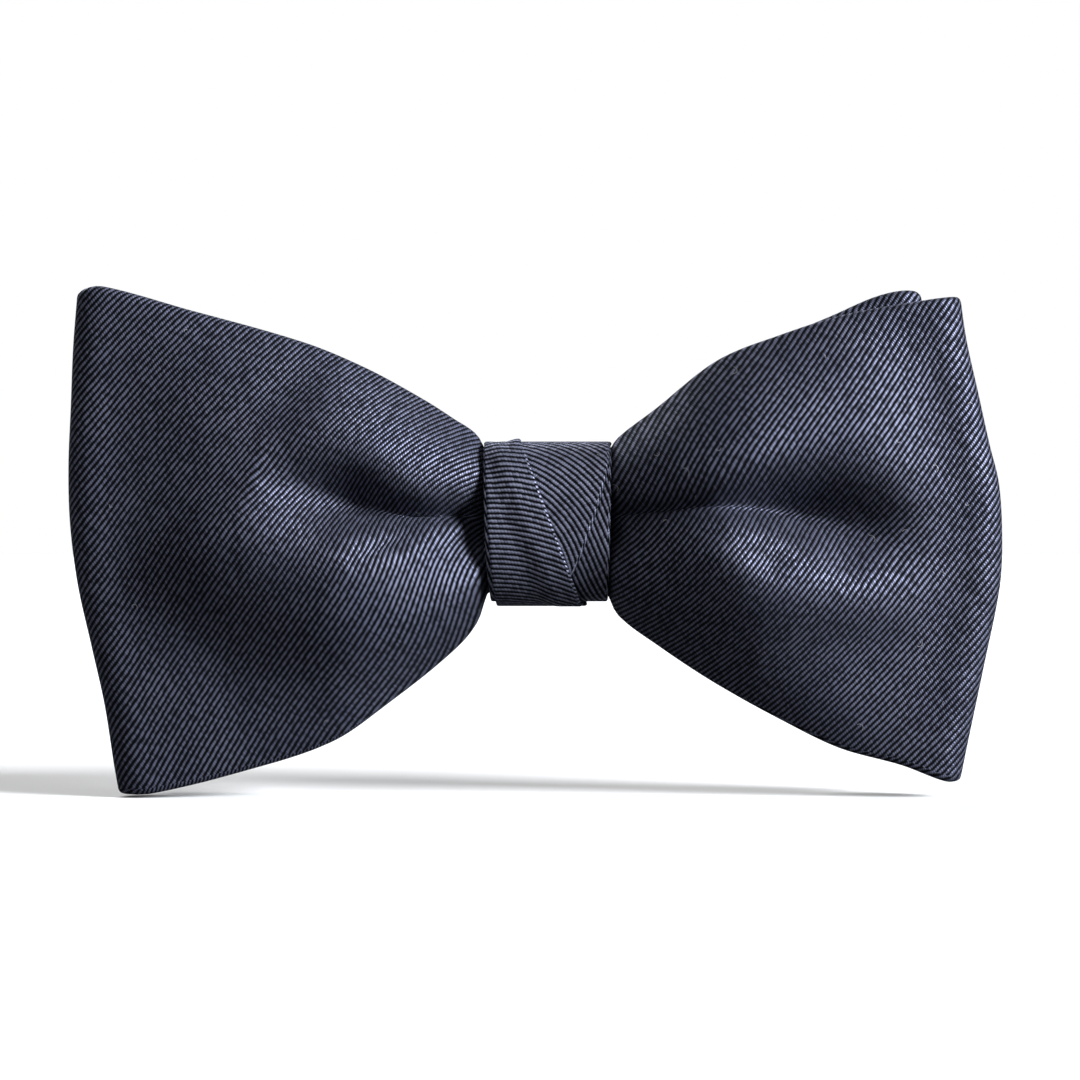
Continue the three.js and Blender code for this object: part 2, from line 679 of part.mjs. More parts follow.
// A loop of thread over the plate, down two holes and through the back of the wrap, open by a
// short gap inside where its ends are tied off.
function clipStitch(sign) {
  const radius = STITCH.thread / 2;
  const over = plateRear + radius + STITCH_SLACK.over;
  const under = knotRear - WRAP - radius - STITCH_SLACK.under;
  const [x, half, corner] = [sign * STITCH.out, STITCH.height / 2, STITCH.corner];
  const spots = [
    [under, corner],
    [under, half - corner],
    [under + corner, half],
    [over - corner, half],
    [over, half - corner],
    [over, 0],
  ].map(([y, z]) => new THREE.Vector3(x, y, z));
  const mirrored = spots.slice(0, -1).reverse().map((p) => p.clone().setZ(-p.z));
  return sweptRod([...spots, ...mirrored], radius, 26, 6, 0.3);
}

for (const [side, sign] of Object.entries(SIDES))
  addPart(side + "_clip_stitch", clipStitch(sign), blackThread);

export default tie;
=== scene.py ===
"""A pre-tied bow tie in black-navy twill, with a steel collar clip on its back.

Lengths inside the pattern classes are millimetres, as a pattern cutter writes them, and
turn into metres where a mesh is made.
"""

import logging
import math
from dataclasses import dataclass, field
from enum import Enum

import bpy
import numpy as np
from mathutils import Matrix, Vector


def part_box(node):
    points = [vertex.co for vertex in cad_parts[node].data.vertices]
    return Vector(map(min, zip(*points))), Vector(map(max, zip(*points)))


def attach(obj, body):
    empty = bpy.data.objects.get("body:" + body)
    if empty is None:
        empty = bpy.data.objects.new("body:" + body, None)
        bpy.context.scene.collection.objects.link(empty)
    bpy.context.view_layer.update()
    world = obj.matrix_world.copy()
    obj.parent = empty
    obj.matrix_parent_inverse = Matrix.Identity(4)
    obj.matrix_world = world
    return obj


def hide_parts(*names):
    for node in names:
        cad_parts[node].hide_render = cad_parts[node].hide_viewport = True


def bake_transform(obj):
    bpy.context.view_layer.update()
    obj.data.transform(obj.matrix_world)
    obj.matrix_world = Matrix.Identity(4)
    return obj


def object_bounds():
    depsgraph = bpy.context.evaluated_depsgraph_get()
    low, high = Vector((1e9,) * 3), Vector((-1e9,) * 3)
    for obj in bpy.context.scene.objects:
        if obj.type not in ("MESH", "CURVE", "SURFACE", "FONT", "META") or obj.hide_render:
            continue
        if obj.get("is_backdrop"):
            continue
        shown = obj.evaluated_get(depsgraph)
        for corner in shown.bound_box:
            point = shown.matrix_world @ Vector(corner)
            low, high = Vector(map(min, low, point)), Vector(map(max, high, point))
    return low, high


logging.basicConfig(level=logging.INFO, format="%(message)s")
log = logging.getLogger("bow_tie")

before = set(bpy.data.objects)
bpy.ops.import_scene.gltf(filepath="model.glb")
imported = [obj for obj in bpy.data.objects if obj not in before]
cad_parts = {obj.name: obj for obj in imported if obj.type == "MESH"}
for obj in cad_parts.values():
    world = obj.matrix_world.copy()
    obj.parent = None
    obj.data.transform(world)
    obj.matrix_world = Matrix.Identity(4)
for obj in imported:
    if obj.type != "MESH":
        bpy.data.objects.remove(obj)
CAD_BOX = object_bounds()

MM = 0.001
QUARTER = math.pi / 2
PINCH_HEIGHT = 16.9  # of the gathered bows, in millimetres
KNOT_LIP = 0.7  # how far inside the knot's side the gather starts to open, in millimetres
THREAD_PLIES = 3
PLY_SIDES = 5  # points round each ply of a thread
PLY_LAY = 5  # length in which the plies go once round, in thread radii
PLY_WAIST = 0.82  # a thread's radius between its plies, over that on a ply
WALE_ANGLE = math.radians(50)  # of the twill's ridges to the length of the cloth


class Side(Enum):
    """The two sides of the tie in the front view, and their sign along X."""

    RIGHT = 1
    LEFT = -1


class Face(Enum):
    """Which leaf of a bow's loop, and the depth direction that faces out of the loop."""

    FRONT = -1
    BACK = 1


class Ends(Enum):
    """What closes a skin: a cap on each end, or the last ring joined to the first."""

    CAP = "cap"
    JOIN = "join"


# ---- Curves and grids ----


def smooth_through(points: list, x: np.ndarray) -> np.ndarray:
    """Reads a smooth curve through points.

    Args:
        points: (place, value) pairs, places rising.
        x: The places to read.

    Returns:
        The curve's value at each place, held level past both ends.
    """
    xs, ys = np.array(points, float).T
    slope = np.empty_like(ys)
    slope[1:-1] = (ys[2:] - ys[:-2]) / (xs[2:] - xs[:-2])
    slope[0] = (ys[1] - ys[0]) / (xs[1] - xs[0])
    slope[-1] = (ys[-1] - ys[-2]) / (xs[-1] - xs[-2])
    i = np.clip(np.searchsorted(xs, x) - 1, 0, len(xs) - 2)
    width = xs[i + 1] - xs[i]
    t = np.clip((x - xs[i]) / width, 0, 1)
    start = (1 + 2 * t) * (1 - t) ** 2 * ys[i] + t * (1 - t) ** 2 * width * slope[i]
    end = t * t * (3 - 2 * t) * ys[i + 1] + t * t * (t - 1) * width * slope[i + 1]
    return start + end


def ease(x: np.ndarray, low: float, high: float) -> np.ndarray:
    """Rises smoothly from 0 at low to 1 at high."""
    t = np.clip((x - low) / (high - low), 0, 1)
    return t * t * (3 - 2 * t)


def mix(a: np.ndarray, b: np.ndarray, share: np.ndarray) -> np.ndarray:
    """Goes from a to b as share goes from 0 to 1."""
    return a + (b - a) * share


def squared(value: np.ndarray, power: float) -> np.ndarray:
    """Raises a sine or a cosine to a power and keeps its sign, which squares a round off."""
    return np.sign(value) * np.abs(value) ** power


def corners_of(node: str) -> tuple:
    """Gives the low and the high corner of a part of the frame, in millimetres."""
    low, high = (np.array(corner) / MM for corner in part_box(node))
    return low, high


def unit(vectors: np.ndarray) -> np.ndarray:
    """Scales vectors to length 1."""
    return vectors / np.maximum(np.linalg.norm(vectors, axis=-1, keepdims=True), 1e-9)


def make_mesh(
    name: str,
    points: np.ndarray,
    faces: list,
    uvs: np.ndarray | None,
    material: bpy.types.Material,
) -> bpy.types.Object:
    """Makes a smooth-shaded object.

    Args:
        name: The piece's name.
        points: Its corners in millimetres, one row each.
        faces: Rows of corner indices.
        uvs: Cloth coordinates in millimetres, one row for each face corner, or None.
        material: The finish that it wears.

    Returns:
        The object, linked to the scene, with its faces pointing out.
    """
    mesh = bpy.data.meshes.new(name)
    mesh.from_pydata((points * MM).tolist(), [], faces)
    if uvs is not None:
        layer = mesh.uv_layers.new(name="cloth")
        layer.data.foreach_set("uv", np.asarray(uvs, float).ravel())
    mesh.shade_smooth()
    mesh.materials.append(material)
    mesh.update()
    if signed_volume(mesh) < 0:
        mesh.flip_normals()
    piece = bpy.data.objects.new(name, mesh)
    bpy.context.scene.collection.objects.link(piece)
    return piece


def signed_volume(mesh: bpy.types.Mesh) -> float:
    """Gives the volume inside a closed mesh, below zero if its faces point in.

    Args:
        mesh: The mesh.

    Returns:
        Cubic metres.
    """
    mesh.calc_loop_triangles()
    corners = np.empty(len(mesh.vertices) * 3)
    mesh.vertices.foreach_get("co", corners)
    triangles = np.empty(len(mesh.loop_triangles) * 3, int)
    mesh.loop_triangles.foreach_get("vertices", triangles)
    a, b, c = corners.reshape(-1, 3)[triangles.reshape(-1, 3)].transpose(1, 0, 2)
    return float((a * np.cross(b, c)).sum() / 6)


def skin(
    name: str,
    rings: np.ndarray,
    uv: np.ndarray | None,
    material: bpy.types.Material,
    ends: Ends = Ends.CAP,
) -> bpy.types.Object:
    """Makes a closed skin over rings of points.

    Args:
        name: The piece's name.
        rings: Points in millimetres, as (rings, points round a ring, 3).
        uv: Cloth coordinates as (rings, points + 1, 2), or with one more ring where the
            skin joins up; None for a piece that has no weave.
        material: The finish that it wears.
        ends: What happens at the first and the last ring.

    Returns:
        The object.
    """
    count, around = rings.shape[:2]
    spans = count if ends is Ends.JOIN else count - 1
    i, j = np.meshgrid(np.arange(spans), np.arange(around), indexing="ij")
    k, after = (j + 1) % around, (i + 1) % count
    quads = np.stack([i * around + j, i * around + k, after * around + k, after * around + j], -1)
    faces = quads.reshape(-1, 4).tolist()
    corners = None
    if uv is not None:
        corners = np.stack([uv[i, j], uv[i, j + 1], uv[i + 1, j + 1], uv[i + 1, j]], -2)
        corners = corners.reshape(-1, 2)
    if ends is Ends.CAP:
        last = (count - 1) * around
        faces += [list(range(around))[::-1], [last + n for n in range(around)]]
        if corners is not None:
            corners = np.concatenate([corners, uv[0, :around][::-1], uv[-1, :around]])
    return make_mesh(name, rings.reshape(-1, 3), faces, corners, material)


def tube(path: np.ndarray, radius: float, sides: int, ply: float = 0.0) -> np.ndarray:
    """Gives the rings of a tube along a path.

    Args:
        path: The middle of the tube in millimetres, one row for each ring.
        radius: The tube's radius in millimetres.
        sides: Points round each ring.
        ply: Length in which the tube's three twisted plies go once round, or 0 for wire.

    Returns:
        The rings as (rings, sides, 3).
    """
    along = unit(np.gradient(path, axis=0))
    aslant = np.array([0.31, 0.47, 0.83])
    across = [unit(np.cross(along[0], aslant))]
    for direction in along[1:]:
        across.append(unit(across[-1] - direction * (across[-1] @ direction)))
    across = np.array(across)
    up = np.cross(along, across)
    angle = np.linspace(0, 2 * math.pi, sides, endpoint=False)[None, :, None]
    size = np.full((len(path), sides, 1), radius)
    if ply:
        step = np.linalg.norm(np.diff(path, axis=0, prepend=path[:1]), axis=1)
        turn = 2 * math.pi * np.cumsum(step)[:, None, None] / ply
        swell = np.abs(np.cos(THREAD_PLIES / 2 * (angle - turn)))
        size = radius * mix(PLY_WAIST, 1, swell)
    around = np.cos(angle) * across[:, None] + np.sin(angle) * up[:, None]
    return path[:, None] + size * around


def smooth_path(spots: list, steps: int) -> np.ndarray:
    """Runs a smooth path through spots, with that many steps from each to the next.

    Args:
        spots: Points in millimetres.
        steps: Steps from each spot to the next.

    Returns:
        The path, one row for each step.
    """
    spots = np.array(spots, float)
    place = np.linspace(0, len(spots) - 1, steps * (len(spots) - 1) + 1)
    axes = [smooth_through(list(enumerate(spots[:, k])), place) for k in range(3)]
    return np.stack(axes, -1)


def plump(
    points: np.ndarray,
    half: np.ndarray,
    along_row: np.ndarray,
    weave: np.ndarray,
    edge_steps: int = 6,
) -> tuple:
    """Thickens a surface into rings with rounded edges.

    Args:
        points: The middle surface, as (rows, columns, 3).
        half: Half the thickness, for each point.
        along_row: The direction across the rows, for each point.
        weave: The surface's weave coordinates, as (rows, columns, 2).
        edge_steps: Steps round each edge.

    Returns:
        Rings as (rows, points, 3), and their weave with one more column.
    """
    along = unit(np.gradient(points, axis=0))
    rim = unit(along_row - along * (along_row * along).sum(-1, keepdims=True))
    outward = unit(np.cross(rim, along))
    size = half[..., None]
    turns = np.linspace(0, math.pi, edge_steps + 1)[1:-1]

    def edge(column: int, sign: int) -> np.ndarray:
        """Rounds one edge.

        Args:
            column: The column of points at the edge.
            sign: Which way the edge faces along a row.

        Returns:
            Points as (rows, steps, 3).
        """
        normal, out = outward[:, column], sign * rim[:, column]
        curve = [
            points[:, column] + size[:, column] * (sign * math.cos(a) * normal + math.sin(a) * out)
            for a in turns
        ]
        return np.stack(curve, 1)

    outer = points + size * outward
    inner = (points - size * outward)[:, ::-1]
    rings = np.concatenate([outer, edge(-1, 1), inner, edge(0, -1)], 1)
    step = unit(weave[:, -1:] - weave[:, -2:-1]), unit(weave[:, :1] - weave[:, 1:2])
    thick = math.pi * float(half.max())
    high = weave[:, -1:] + step[0] * (turns[:, None] / math.pi * thick)
    mirror = weave[:, -1:] * 2 - weave[:, ::-1] + step[0] * thick
    low = mirror[:, -1:] - step[1] * (turns[:, None] / math.pi * thick)
    close = mirror[:, -1:] - step[1] * thick
    return rings, np.concatenate([weave, high, mirror, low, close], 1)


def ridge_weave(across: np.ndarray, along: np.ndarray) -> np.ndarray:
    """Gives weave coordinates whose ridges run along one coordinate and lie across the other."""
    sine, cosine = math.sin(WALE_ANGLE), math.cos(WALE_ANGLE)
    return np.stack([across * sine + along * cosine, along * sine - across * cosine], -1)


# ---- Finishes ----


Value = float | tuple | bpy.types.NodeSocket


class Nodes:
    """Builds a material's nodes with short calls."""

    def __init__(self, name: str) -> None:
        """Makes an empty material with a Principled shader.

        Args:
            name: The material's name.
        """
        self.material = bpy.data.materials.new(name)
        self.material.use_nodes = True
        self.tree = self.material.node_tree
        self.shader = self.tree.nodes["Principled BSDF"]

    def node(
        self, kind: str, inputs: dict | None = None, **settings: str | bool
    ) -> bpy.types.Node:
        """Adds a node.

        Args:
            kind: The node's type, without the ShaderNode in front.
            inputs: Socket name or number to a value or to an output socket.
            **settings: The node's own properties.

        Returns:
            The node.
        """
        made = self.tree.nodes.new("ShaderNode" + kind)
        for key, value in settings.items():
            setattr(made, key, value)
        for key, value in (inputs or {}).items():
            if isinstance(value, bpy.types.NodeSocket):
                self.tree.links.new(value, made.inputs[key])
            else:
                made.inputs[key].default_value = value
        return made

    def math(
        self, operation: str, a: Value, b: Value = 0.0, c: Value = 0.0
    ) -> bpy.types.NodeSocket:
        """Adds a Math node and gives its output."""
        return self.node("Math", {0: a, 1: b, 2: c}, operation=operation).outputs[0]

    def blend(self, share: Value, a: Value, b: Value) -> bpy.types.NodeSocket:
        """Mixes two colours, or two colour sockets, by share."""
        made = self.node("Mix", {0: share, 6: a, 7: b}, data_type="RGBA")
        return made.outputs[2]

    def ramp(
        self, value: Value, low: float, high: float, start: float, end: float
    ) -> bpy.types.NodeSocket:
        """Maps value from the range low to high onto start to end, held at both ends."""
        made = self.node(
            "MapRange", {"Value": value, 1: low, 2: high, 3: start, 4: end}, clamp=True
        )
        return made.outputs[0]

    def noise(
        self, vector: bpy.types.NodeSocket, scale: float, detail: float = 2.0
    ) -> bpy.types.NodeSocket:
        """Adds a noise texture and gives its value."""
        made = self.node("TexNoise", {"Vector": vector, "Scale": scale, "Detail": detail})
        return made.outputs["Fac"]

    def wear(self, **values: Value) -> None:
        """Sets or links the shader's sockets, named with underscores for spaces.

        Args:
            **values: What each socket is set to or linked from.
        """
        for key, value in values.items():
            socket = self.shader.inputs[key.replace("_", " ")]
            if isinstance(value, bpy.types.NodeSocket):
                self.tree.links.new(value, socket)
            else:
                socket.default_value = value


@dataclass(frozen=True)
class TwillFinish:
    """Satin-faced twill: slanting ridges of short thread floats, over furrows darkened with painted
    shade.

    Attributes:
        name: The material's name.
        furrow_painted_shade: Near-black colour between the ridges and in the gaps between floats:
            painted shade standing in for the weave's shadow, which through the metallic share also
            takes their gloss away.
        thread: Colour of the ridges.
        worn: Their colour in the rubbed patches.
        lint: Colour of the lint.
        lint_density: Curls of lint for each millimetre, along either way.
        lint_sizes: The smallest and the largest radius of a curl, in curl spacings.
        lint_width: Half the width of a curl's hair, in curl spacings.
        lint_rarity: Share of the places for a curl that stay empty.
        lint_cover: How far a curl hides the cloth.
        patch_scale: Rubbed patches for each millimetre.
        ridge_pitch: Millimetres from ridge to ridge.
        ridge_round: How flat a ridge's top is.
        waver: How far a ridge strays, in pitches.
        waver_scale: Strays for each millimetre.
        float_pitch: Millimetres from float to float along a ridge.
        float_slant: How far a float leans, in float pitches.
        float_step: How far the floats of the next ridge are shifted, in float pitches.
        float_depth: How far the gaps between floats sink.
        uneven: The dullest and the brightest float.
        covered: Heights between which the painted shade of the low weave turns into thread colour.
        smooth: Heights between which the dull furrow turns into the glossy ridge.
        relief: Height of the weave in metres.
        roughness: Of the ridges.
        furrow_roughness: Of the furrows.
        satin: Share of the gloss that takes the thread's colour.
    """

    name: str = "satin_twill"
    # near-black painted shade for the furrows and the gaps between floats
    furrow_painted_shade: tuple = (0.0006, 0.0007, 0.0016, 1)
    thread: tuple = (0.105, 0.113, 0.172, 1)
    worn: tuple = (0.145, 0.154, 0.222, 1)
    lint: tuple = (0.30, 0.30, 0.32, 1)
    lint_density: float = 0.12
    lint_sizes: tuple = (0.12, 0.5)
    lint_width: float = 0.035
    lint_rarity: float = 0.55
    lint_cover: float = 0.8
    patch_scale: float = 0.12
    ridge_pitch: float = 0.63
    ridge_round: float = 1.4
    waver: float = 0.22
    waver_scale: float = 0.9
    float_pitch: float = 0.29
    float_slant: float = 0.55
    float_step: float = 0.5
    float_depth: float = 0.36
    uneven: tuple = (0.72, 1.12)
    covered: tuple = (0.34, 0.85)
    smooth: tuple = (0.4, 0.95)
    relief: float = 0.0001
    roughness: float = 0.44
    furrow_roughness: float = 0.8
    satin: float = 0.7

    def material(self) -> bpy.types.Material:
        """Builds the twill from its cloth coordinates.

        Returns:
            The material.
        """
        n = Nodes(self.name)
        place = n.node("UVMap", uv_map="cloth").outputs[0]
        flat = n.node("SeparateXYZ", {0: place}).outputs
        sine, cosine = math.sin(WALE_ANGLE), math.cos(WALE_ANGLE)
        across = n.math(
            "SUBTRACT", n.math("MULTIPLY", flat[0], sine), n.math("MULTIPLY", flat[1], cosine)
        )
        along = n.math(
            "ADD", n.math("MULTIPLY", flat[0], cosine), n.math("MULTIPLY", flat[1], sine)
        )
        stray = n.math("SUBTRACT", n.noise(place, self.waver_scale), 0.5)
        wobble = n.math("MULTIPLY", stray, self.waver)
        ridge = n.math("ADD", n.math("DIVIDE", across, self.ridge_pitch), wobble)
        number = n.math("FLOOR", ridge)
        inside = n.math("SUBTRACT", n.math("FRACT", ridge), 0.5)
        off_top = n.math("ABSOLUTE", n.math("MULTIPLY", inside, 2.0))
        crest = n.math("SUBTRACT", 1.0, n.math("POWER", off_top, self.ridge_round))
        slant = n.math("MULTIPLY", inside, self.float_slant)
        step = n.math("MULTIPLY", number, self.float_step)
        place_along = n.math("DIVIDE", along, self.float_pitch)
        count = n.math("ADD", n.math("ADD", place_along, step), slant)
        bead = n.math("SINE", n.math("MULTIPLY", n.math("FRACT", count), math.pi))
        cell = n.node("CombineXYZ", {0: number, 1: n.math("FLOOR", count)}).outputs[0]
        noise = n.node("TexWhiteNoise", {"Vector": cell}, noise_dimensions="2D")
        sunk = n.math("MULTIPLY", bead, self.float_depth)
        height = n.math("MULTIPLY", crest, n.math("ADD", 1 - self.float_depth, sunk))
        lit = n.ramp(noise.outputs["Value"], 0, 1, *self.uneven)
        shown = n.math("MULTIPLY", height, lit)
        patches = n.ramp(n.noise(place, self.patch_scale, 3.0), 0.3, 0.7, 0.0, 1.0)
        bright = n.blend(patches, self.thread, self.worn)
        # The low parts of the weave, between the ridges and between the floats, take the near-black
        # colour: painted shade.
        cloth = n.blend(n.ramp(shown, *self.covered, 0.0, 1.0), self.furrow_painted_shade, bright)
        fluff = n.math("MULTIPLY", self.lint_curls(n, place), self.lint_cover)
        colour = n.blend(fluff, cloth, self.lint)
        bump = n.node("Bump", {"Height": height, "Strength": 0.9, "Distance": self.relief})
        n.wear(
            Base_Color=colour,
            Roughness=n.ramp(shown, *self.smooth, self.furrow_roughness, self.roughness),
            Normal=bump.outputs[0],
            Metallic=self.satin,
            Specular_IOR_Level=0.3,
            Specular_Tint=(0.86, 0.9, 1.0, 1),
            Sheen_Weight=0.03,
            Sheen_Roughness=0.4,
            Sheen_Tint=(0.62, 0.68, 0.9, 1),
        )
        return n.material

    def lint_curls(self, n: Nodes, place: bpy.types.NodeSocket) -> bpy.types.NodeSocket:
        """Scatters short curls of lint over the cloth.

        Args:
            n: The material's nodes.
            place: Its cloth coordinates.

        Returns:
            1 on a curl and 0 beside it.
        """
        cells = n.node(
            "TexVoronoi", {"Vector": place, "Scale": self.lint_density}, voronoi_dimensions="2D"
        ).outputs
        arm = n.node("VectorMath", {0: place, 1: cells["Position"]}, operation="SUBTRACT")
        arm = arm.outputs[0]
        distance = n.node("VectorMath", {0: arm}, operation="LENGTH").outputs["Value"]
        chance = n.node("SeparateXYZ", {0: cells["Color"]}).outputs
        size = n.ramp(chance[0], 0, 1, *self.lint_sizes)
        miss = n.math("ABSOLUTE", n.math("SUBTRACT", distance, size))
        ring = n.math("LESS_THAN", miss, self.lint_width)
        facing = n.node("VectorMath", {0: cells["Color"], 1: (0.5, 0.5, 0.5)}, operation="SUBTRACT")
        half = n.node("VectorMath", {0: arm, 1: facing.outputs[0]}, operation="DOT_PRODUCT")
        curl = n.math("MULTIPLY", ring, n.math("GREATER_THAN", half.outputs["Value"], 0.02))
        return n.math("MULTIPLY", curl, n.math("GREATER_THAN", chance[2], self.lint_rarity))


@dataclass(frozen=True)
class FeltFinish:
    """Brushed interlining: pale short fibres in all directions."""

    light: tuple = (0.66, 0.63, 0.56, 1)
    dark: tuple = (0.44, 0.41, 0.35, 1)

    def material(self) -> bpy.types.Material:
        """Builds the felt from fine stretched noise.

        Returns:
            The material.
        """
        n = Nodes("brushed_interlining")
        place = n.node("TexCoord").outputs["Object"]
        fibres = n.noise(place, 2600.0, 6.0)
        clumps = n.noise(place, 420.0, 3.0)
        share = n.ramp(n.math("MULTIPLY", fibres, n.math("ADD", clumps, 0.5)), 0.3, 0.7, 0, 1)
        bump = n.node("Bump", {"Height": fibres, "Strength": 0.6, "Distance": 0.00012})
        n.wear(
            Base_Color=n.blend(share, self.dark, self.light),
            Roughness=0.95,
            Normal=bump.outputs[0],
            Sheen_Weight=0.3,
        )
        return n.material


@dataclass(frozen=True)
class ThreadFinish:
    """Spun sewing thread: fine fibres lie along each ply."""

    colour: tuple = (0.010, 0.011, 0.017, 1)
    fuzz: tuple = (0.05, 0.052, 0.065, 1)

    def material(self) -> bpy.types.Material:
        """Builds the thread from noise at the scale of its fibres.

        Returns:
            The material.
        """
        n = Nodes("sewing_thread")
        place = n.node("TexCoord").outputs["Object"]
        fibres = n.noise(place, 9000.0, 4.0)
        bump = n.node("Bump", {"Height": fibres, "Strength": 0.5, "Distance": 0.00004})
        n.wear(
            Base_Color=n.blend(n.ramp(fibres, 0.35, 0.7, 0, 1), self.colour, self.fuzz),
            Roughness=0.6,
            Normal=bump.outputs[0],
            Sheen_Weight=0.25,
        )
        return n.material


@dataclass(frozen=True)
class SteelFinish:
    """Bright metal with fine drawing marks and a few dull handling marks."""

    name: str
    colour: tuple
    dull: tuple
    roughness: float
    grain: tuple  # how close the marks lie along X, Y and Z, per metre

    def material(self) -> bpy.types.Material:
        """Builds the metal from stretched noise.

        Returns:
            The material.
        """
        n = Nodes(self.name)
        place = n.node("TexCoord").outputs["Object"]
        stretched = n.node("Mapping", {"Vector": place, "Scale": self.grain}).outputs[0]
        marks = n.noise(stretched, 1.0, 5.0)
        smudges = n.noise(place, 160.0, 3.0)
        bump = n.node("Bump", {"Height": marks, "Strength": 0.12, "Distance": 0.00003})
        rough = n.math(
            "ADD",
            n.ramp(marks, 0.3, 0.7, self.roughness - 0.05, self.roughness + 0.07),
            n.ramp(smudges, 0.5, 0.75, 0.0, 0.14),
        )
        n.wear(
            Base_Color=n.blend(n.ramp(smudges, 0.45, 0.8, 0, 1), self.colour, self.dull),
            Metallic=1.0,
            Roughness=rough,
            Normal=bump.outputs[0],
        )
        return n.material


# ---- Bows ----


@dataclass
class Fold:
    """A soft valley (or, with depths below zero, a ridge) pressed into a leaf.

    Attributes:
        course: (out, up) points along its bottom, from the knot side.
        depth: How deep it is at each point.
        above: Its half width on the upper side at each point.
        below: Its half width on the lower side at each point.
    """

    course: list
    depth: list
    above: list
    below: list
    samples: int = 50  # for each point of the course

    def press(self, out: np.ndarray, up: np.ndarray) -> np.ndarray:
        """Gives how far the fold presses each point in, in millimetres.

        Args:
            out: Distances out from the middle of the tie.
            up: Heights above it.

        Returns:
            The depth at each point.
        """
        knots = np.arange(len(self.course))
        fine = np.linspace(0, knots[-1], self.samples * len(self.course))

        def read(values: list) -> np.ndarray:
            """Reads one of the fold's lists all along its course."""
            return smooth_through(list(zip(knots, values)), fine)

        line = np.stack([read(axis) for axis in zip(*self.course)], -1)
        along = unit(np.gradient(line, axis=0))
        normal = np.stack([-along[:, 1], along[:, 0]], -1)
        depth, above, below = (read(v) for v in (self.depth, self.above, self.below))
        flat = np.stack([out, up], -1).reshape(-1, 1, 2)
        gap = flat - line[None]
        nearest = np.argmin((gap**2).sum(-1), axis=1)
        row = np.arange(len(nearest))
        offset = gap[row, nearest]
        side = (offset * normal[nearest]).sum(-1)
        past = (offset * along[nearest]).sum(-1)
        width = np.where(side > 0, above[nearest], below[nearest])
        shape = np.exp(-((side / width) ** 2) - (past / width) ** 2)
        return (depth[nearest] * shape).reshape(out.shape)


@dataclass
class Wing:
    """One wing of a bow, cut to an outline.

    Attributes:
        top: (out, height above the middle) along the upper edge, from the knot to the tip.
        bottom: (out, depth below the middle) along the lower edge.
        tip: (height, out) along the fold at the tip, from the bottom to the top.
        puff: How far the front leaf stands out between knot and tip.
        twist: Degrees that the gather turns the weave by, above and below the crease.
        folds: The folds in its front leaf.
        back_folds: The folds in its back leaf.
    """

    top: list
    bottom: list
    tip: list
    puff: float = 0.0
    twist: tuple = (0.0, 0.0)
    folds: list = field(default_factory=list)
    back_folds: list = field(default_factory=list)


@dataclass(frozen=True)
class Cut:
    """A piece of cloth as it was cut, lying flat, in millimetres.

    Attributes:
        width: Across it.
        length: Along it.
        share: How much of width times length its outline fills.
    """

    width: float
    length: float
    share: float = 1.0

    def declare(self, piece: bpy.types.Object, held: str, rests_on: list) -> None:
        """Takes the piece, how it is held and what it rests on, and does nothing with them.

        Args:
            piece: The cloth; not used.
            held: How it is held; not used.
            rests_on: The pieces that it rests on; not used.
        """


@dataclass
class Layers:
    """Depths of a bow's two leaves, in the gather and at the tip, in millimetres."""

    back_knot: float
    front_knot: float
    back_tip: float
    front_tip: float


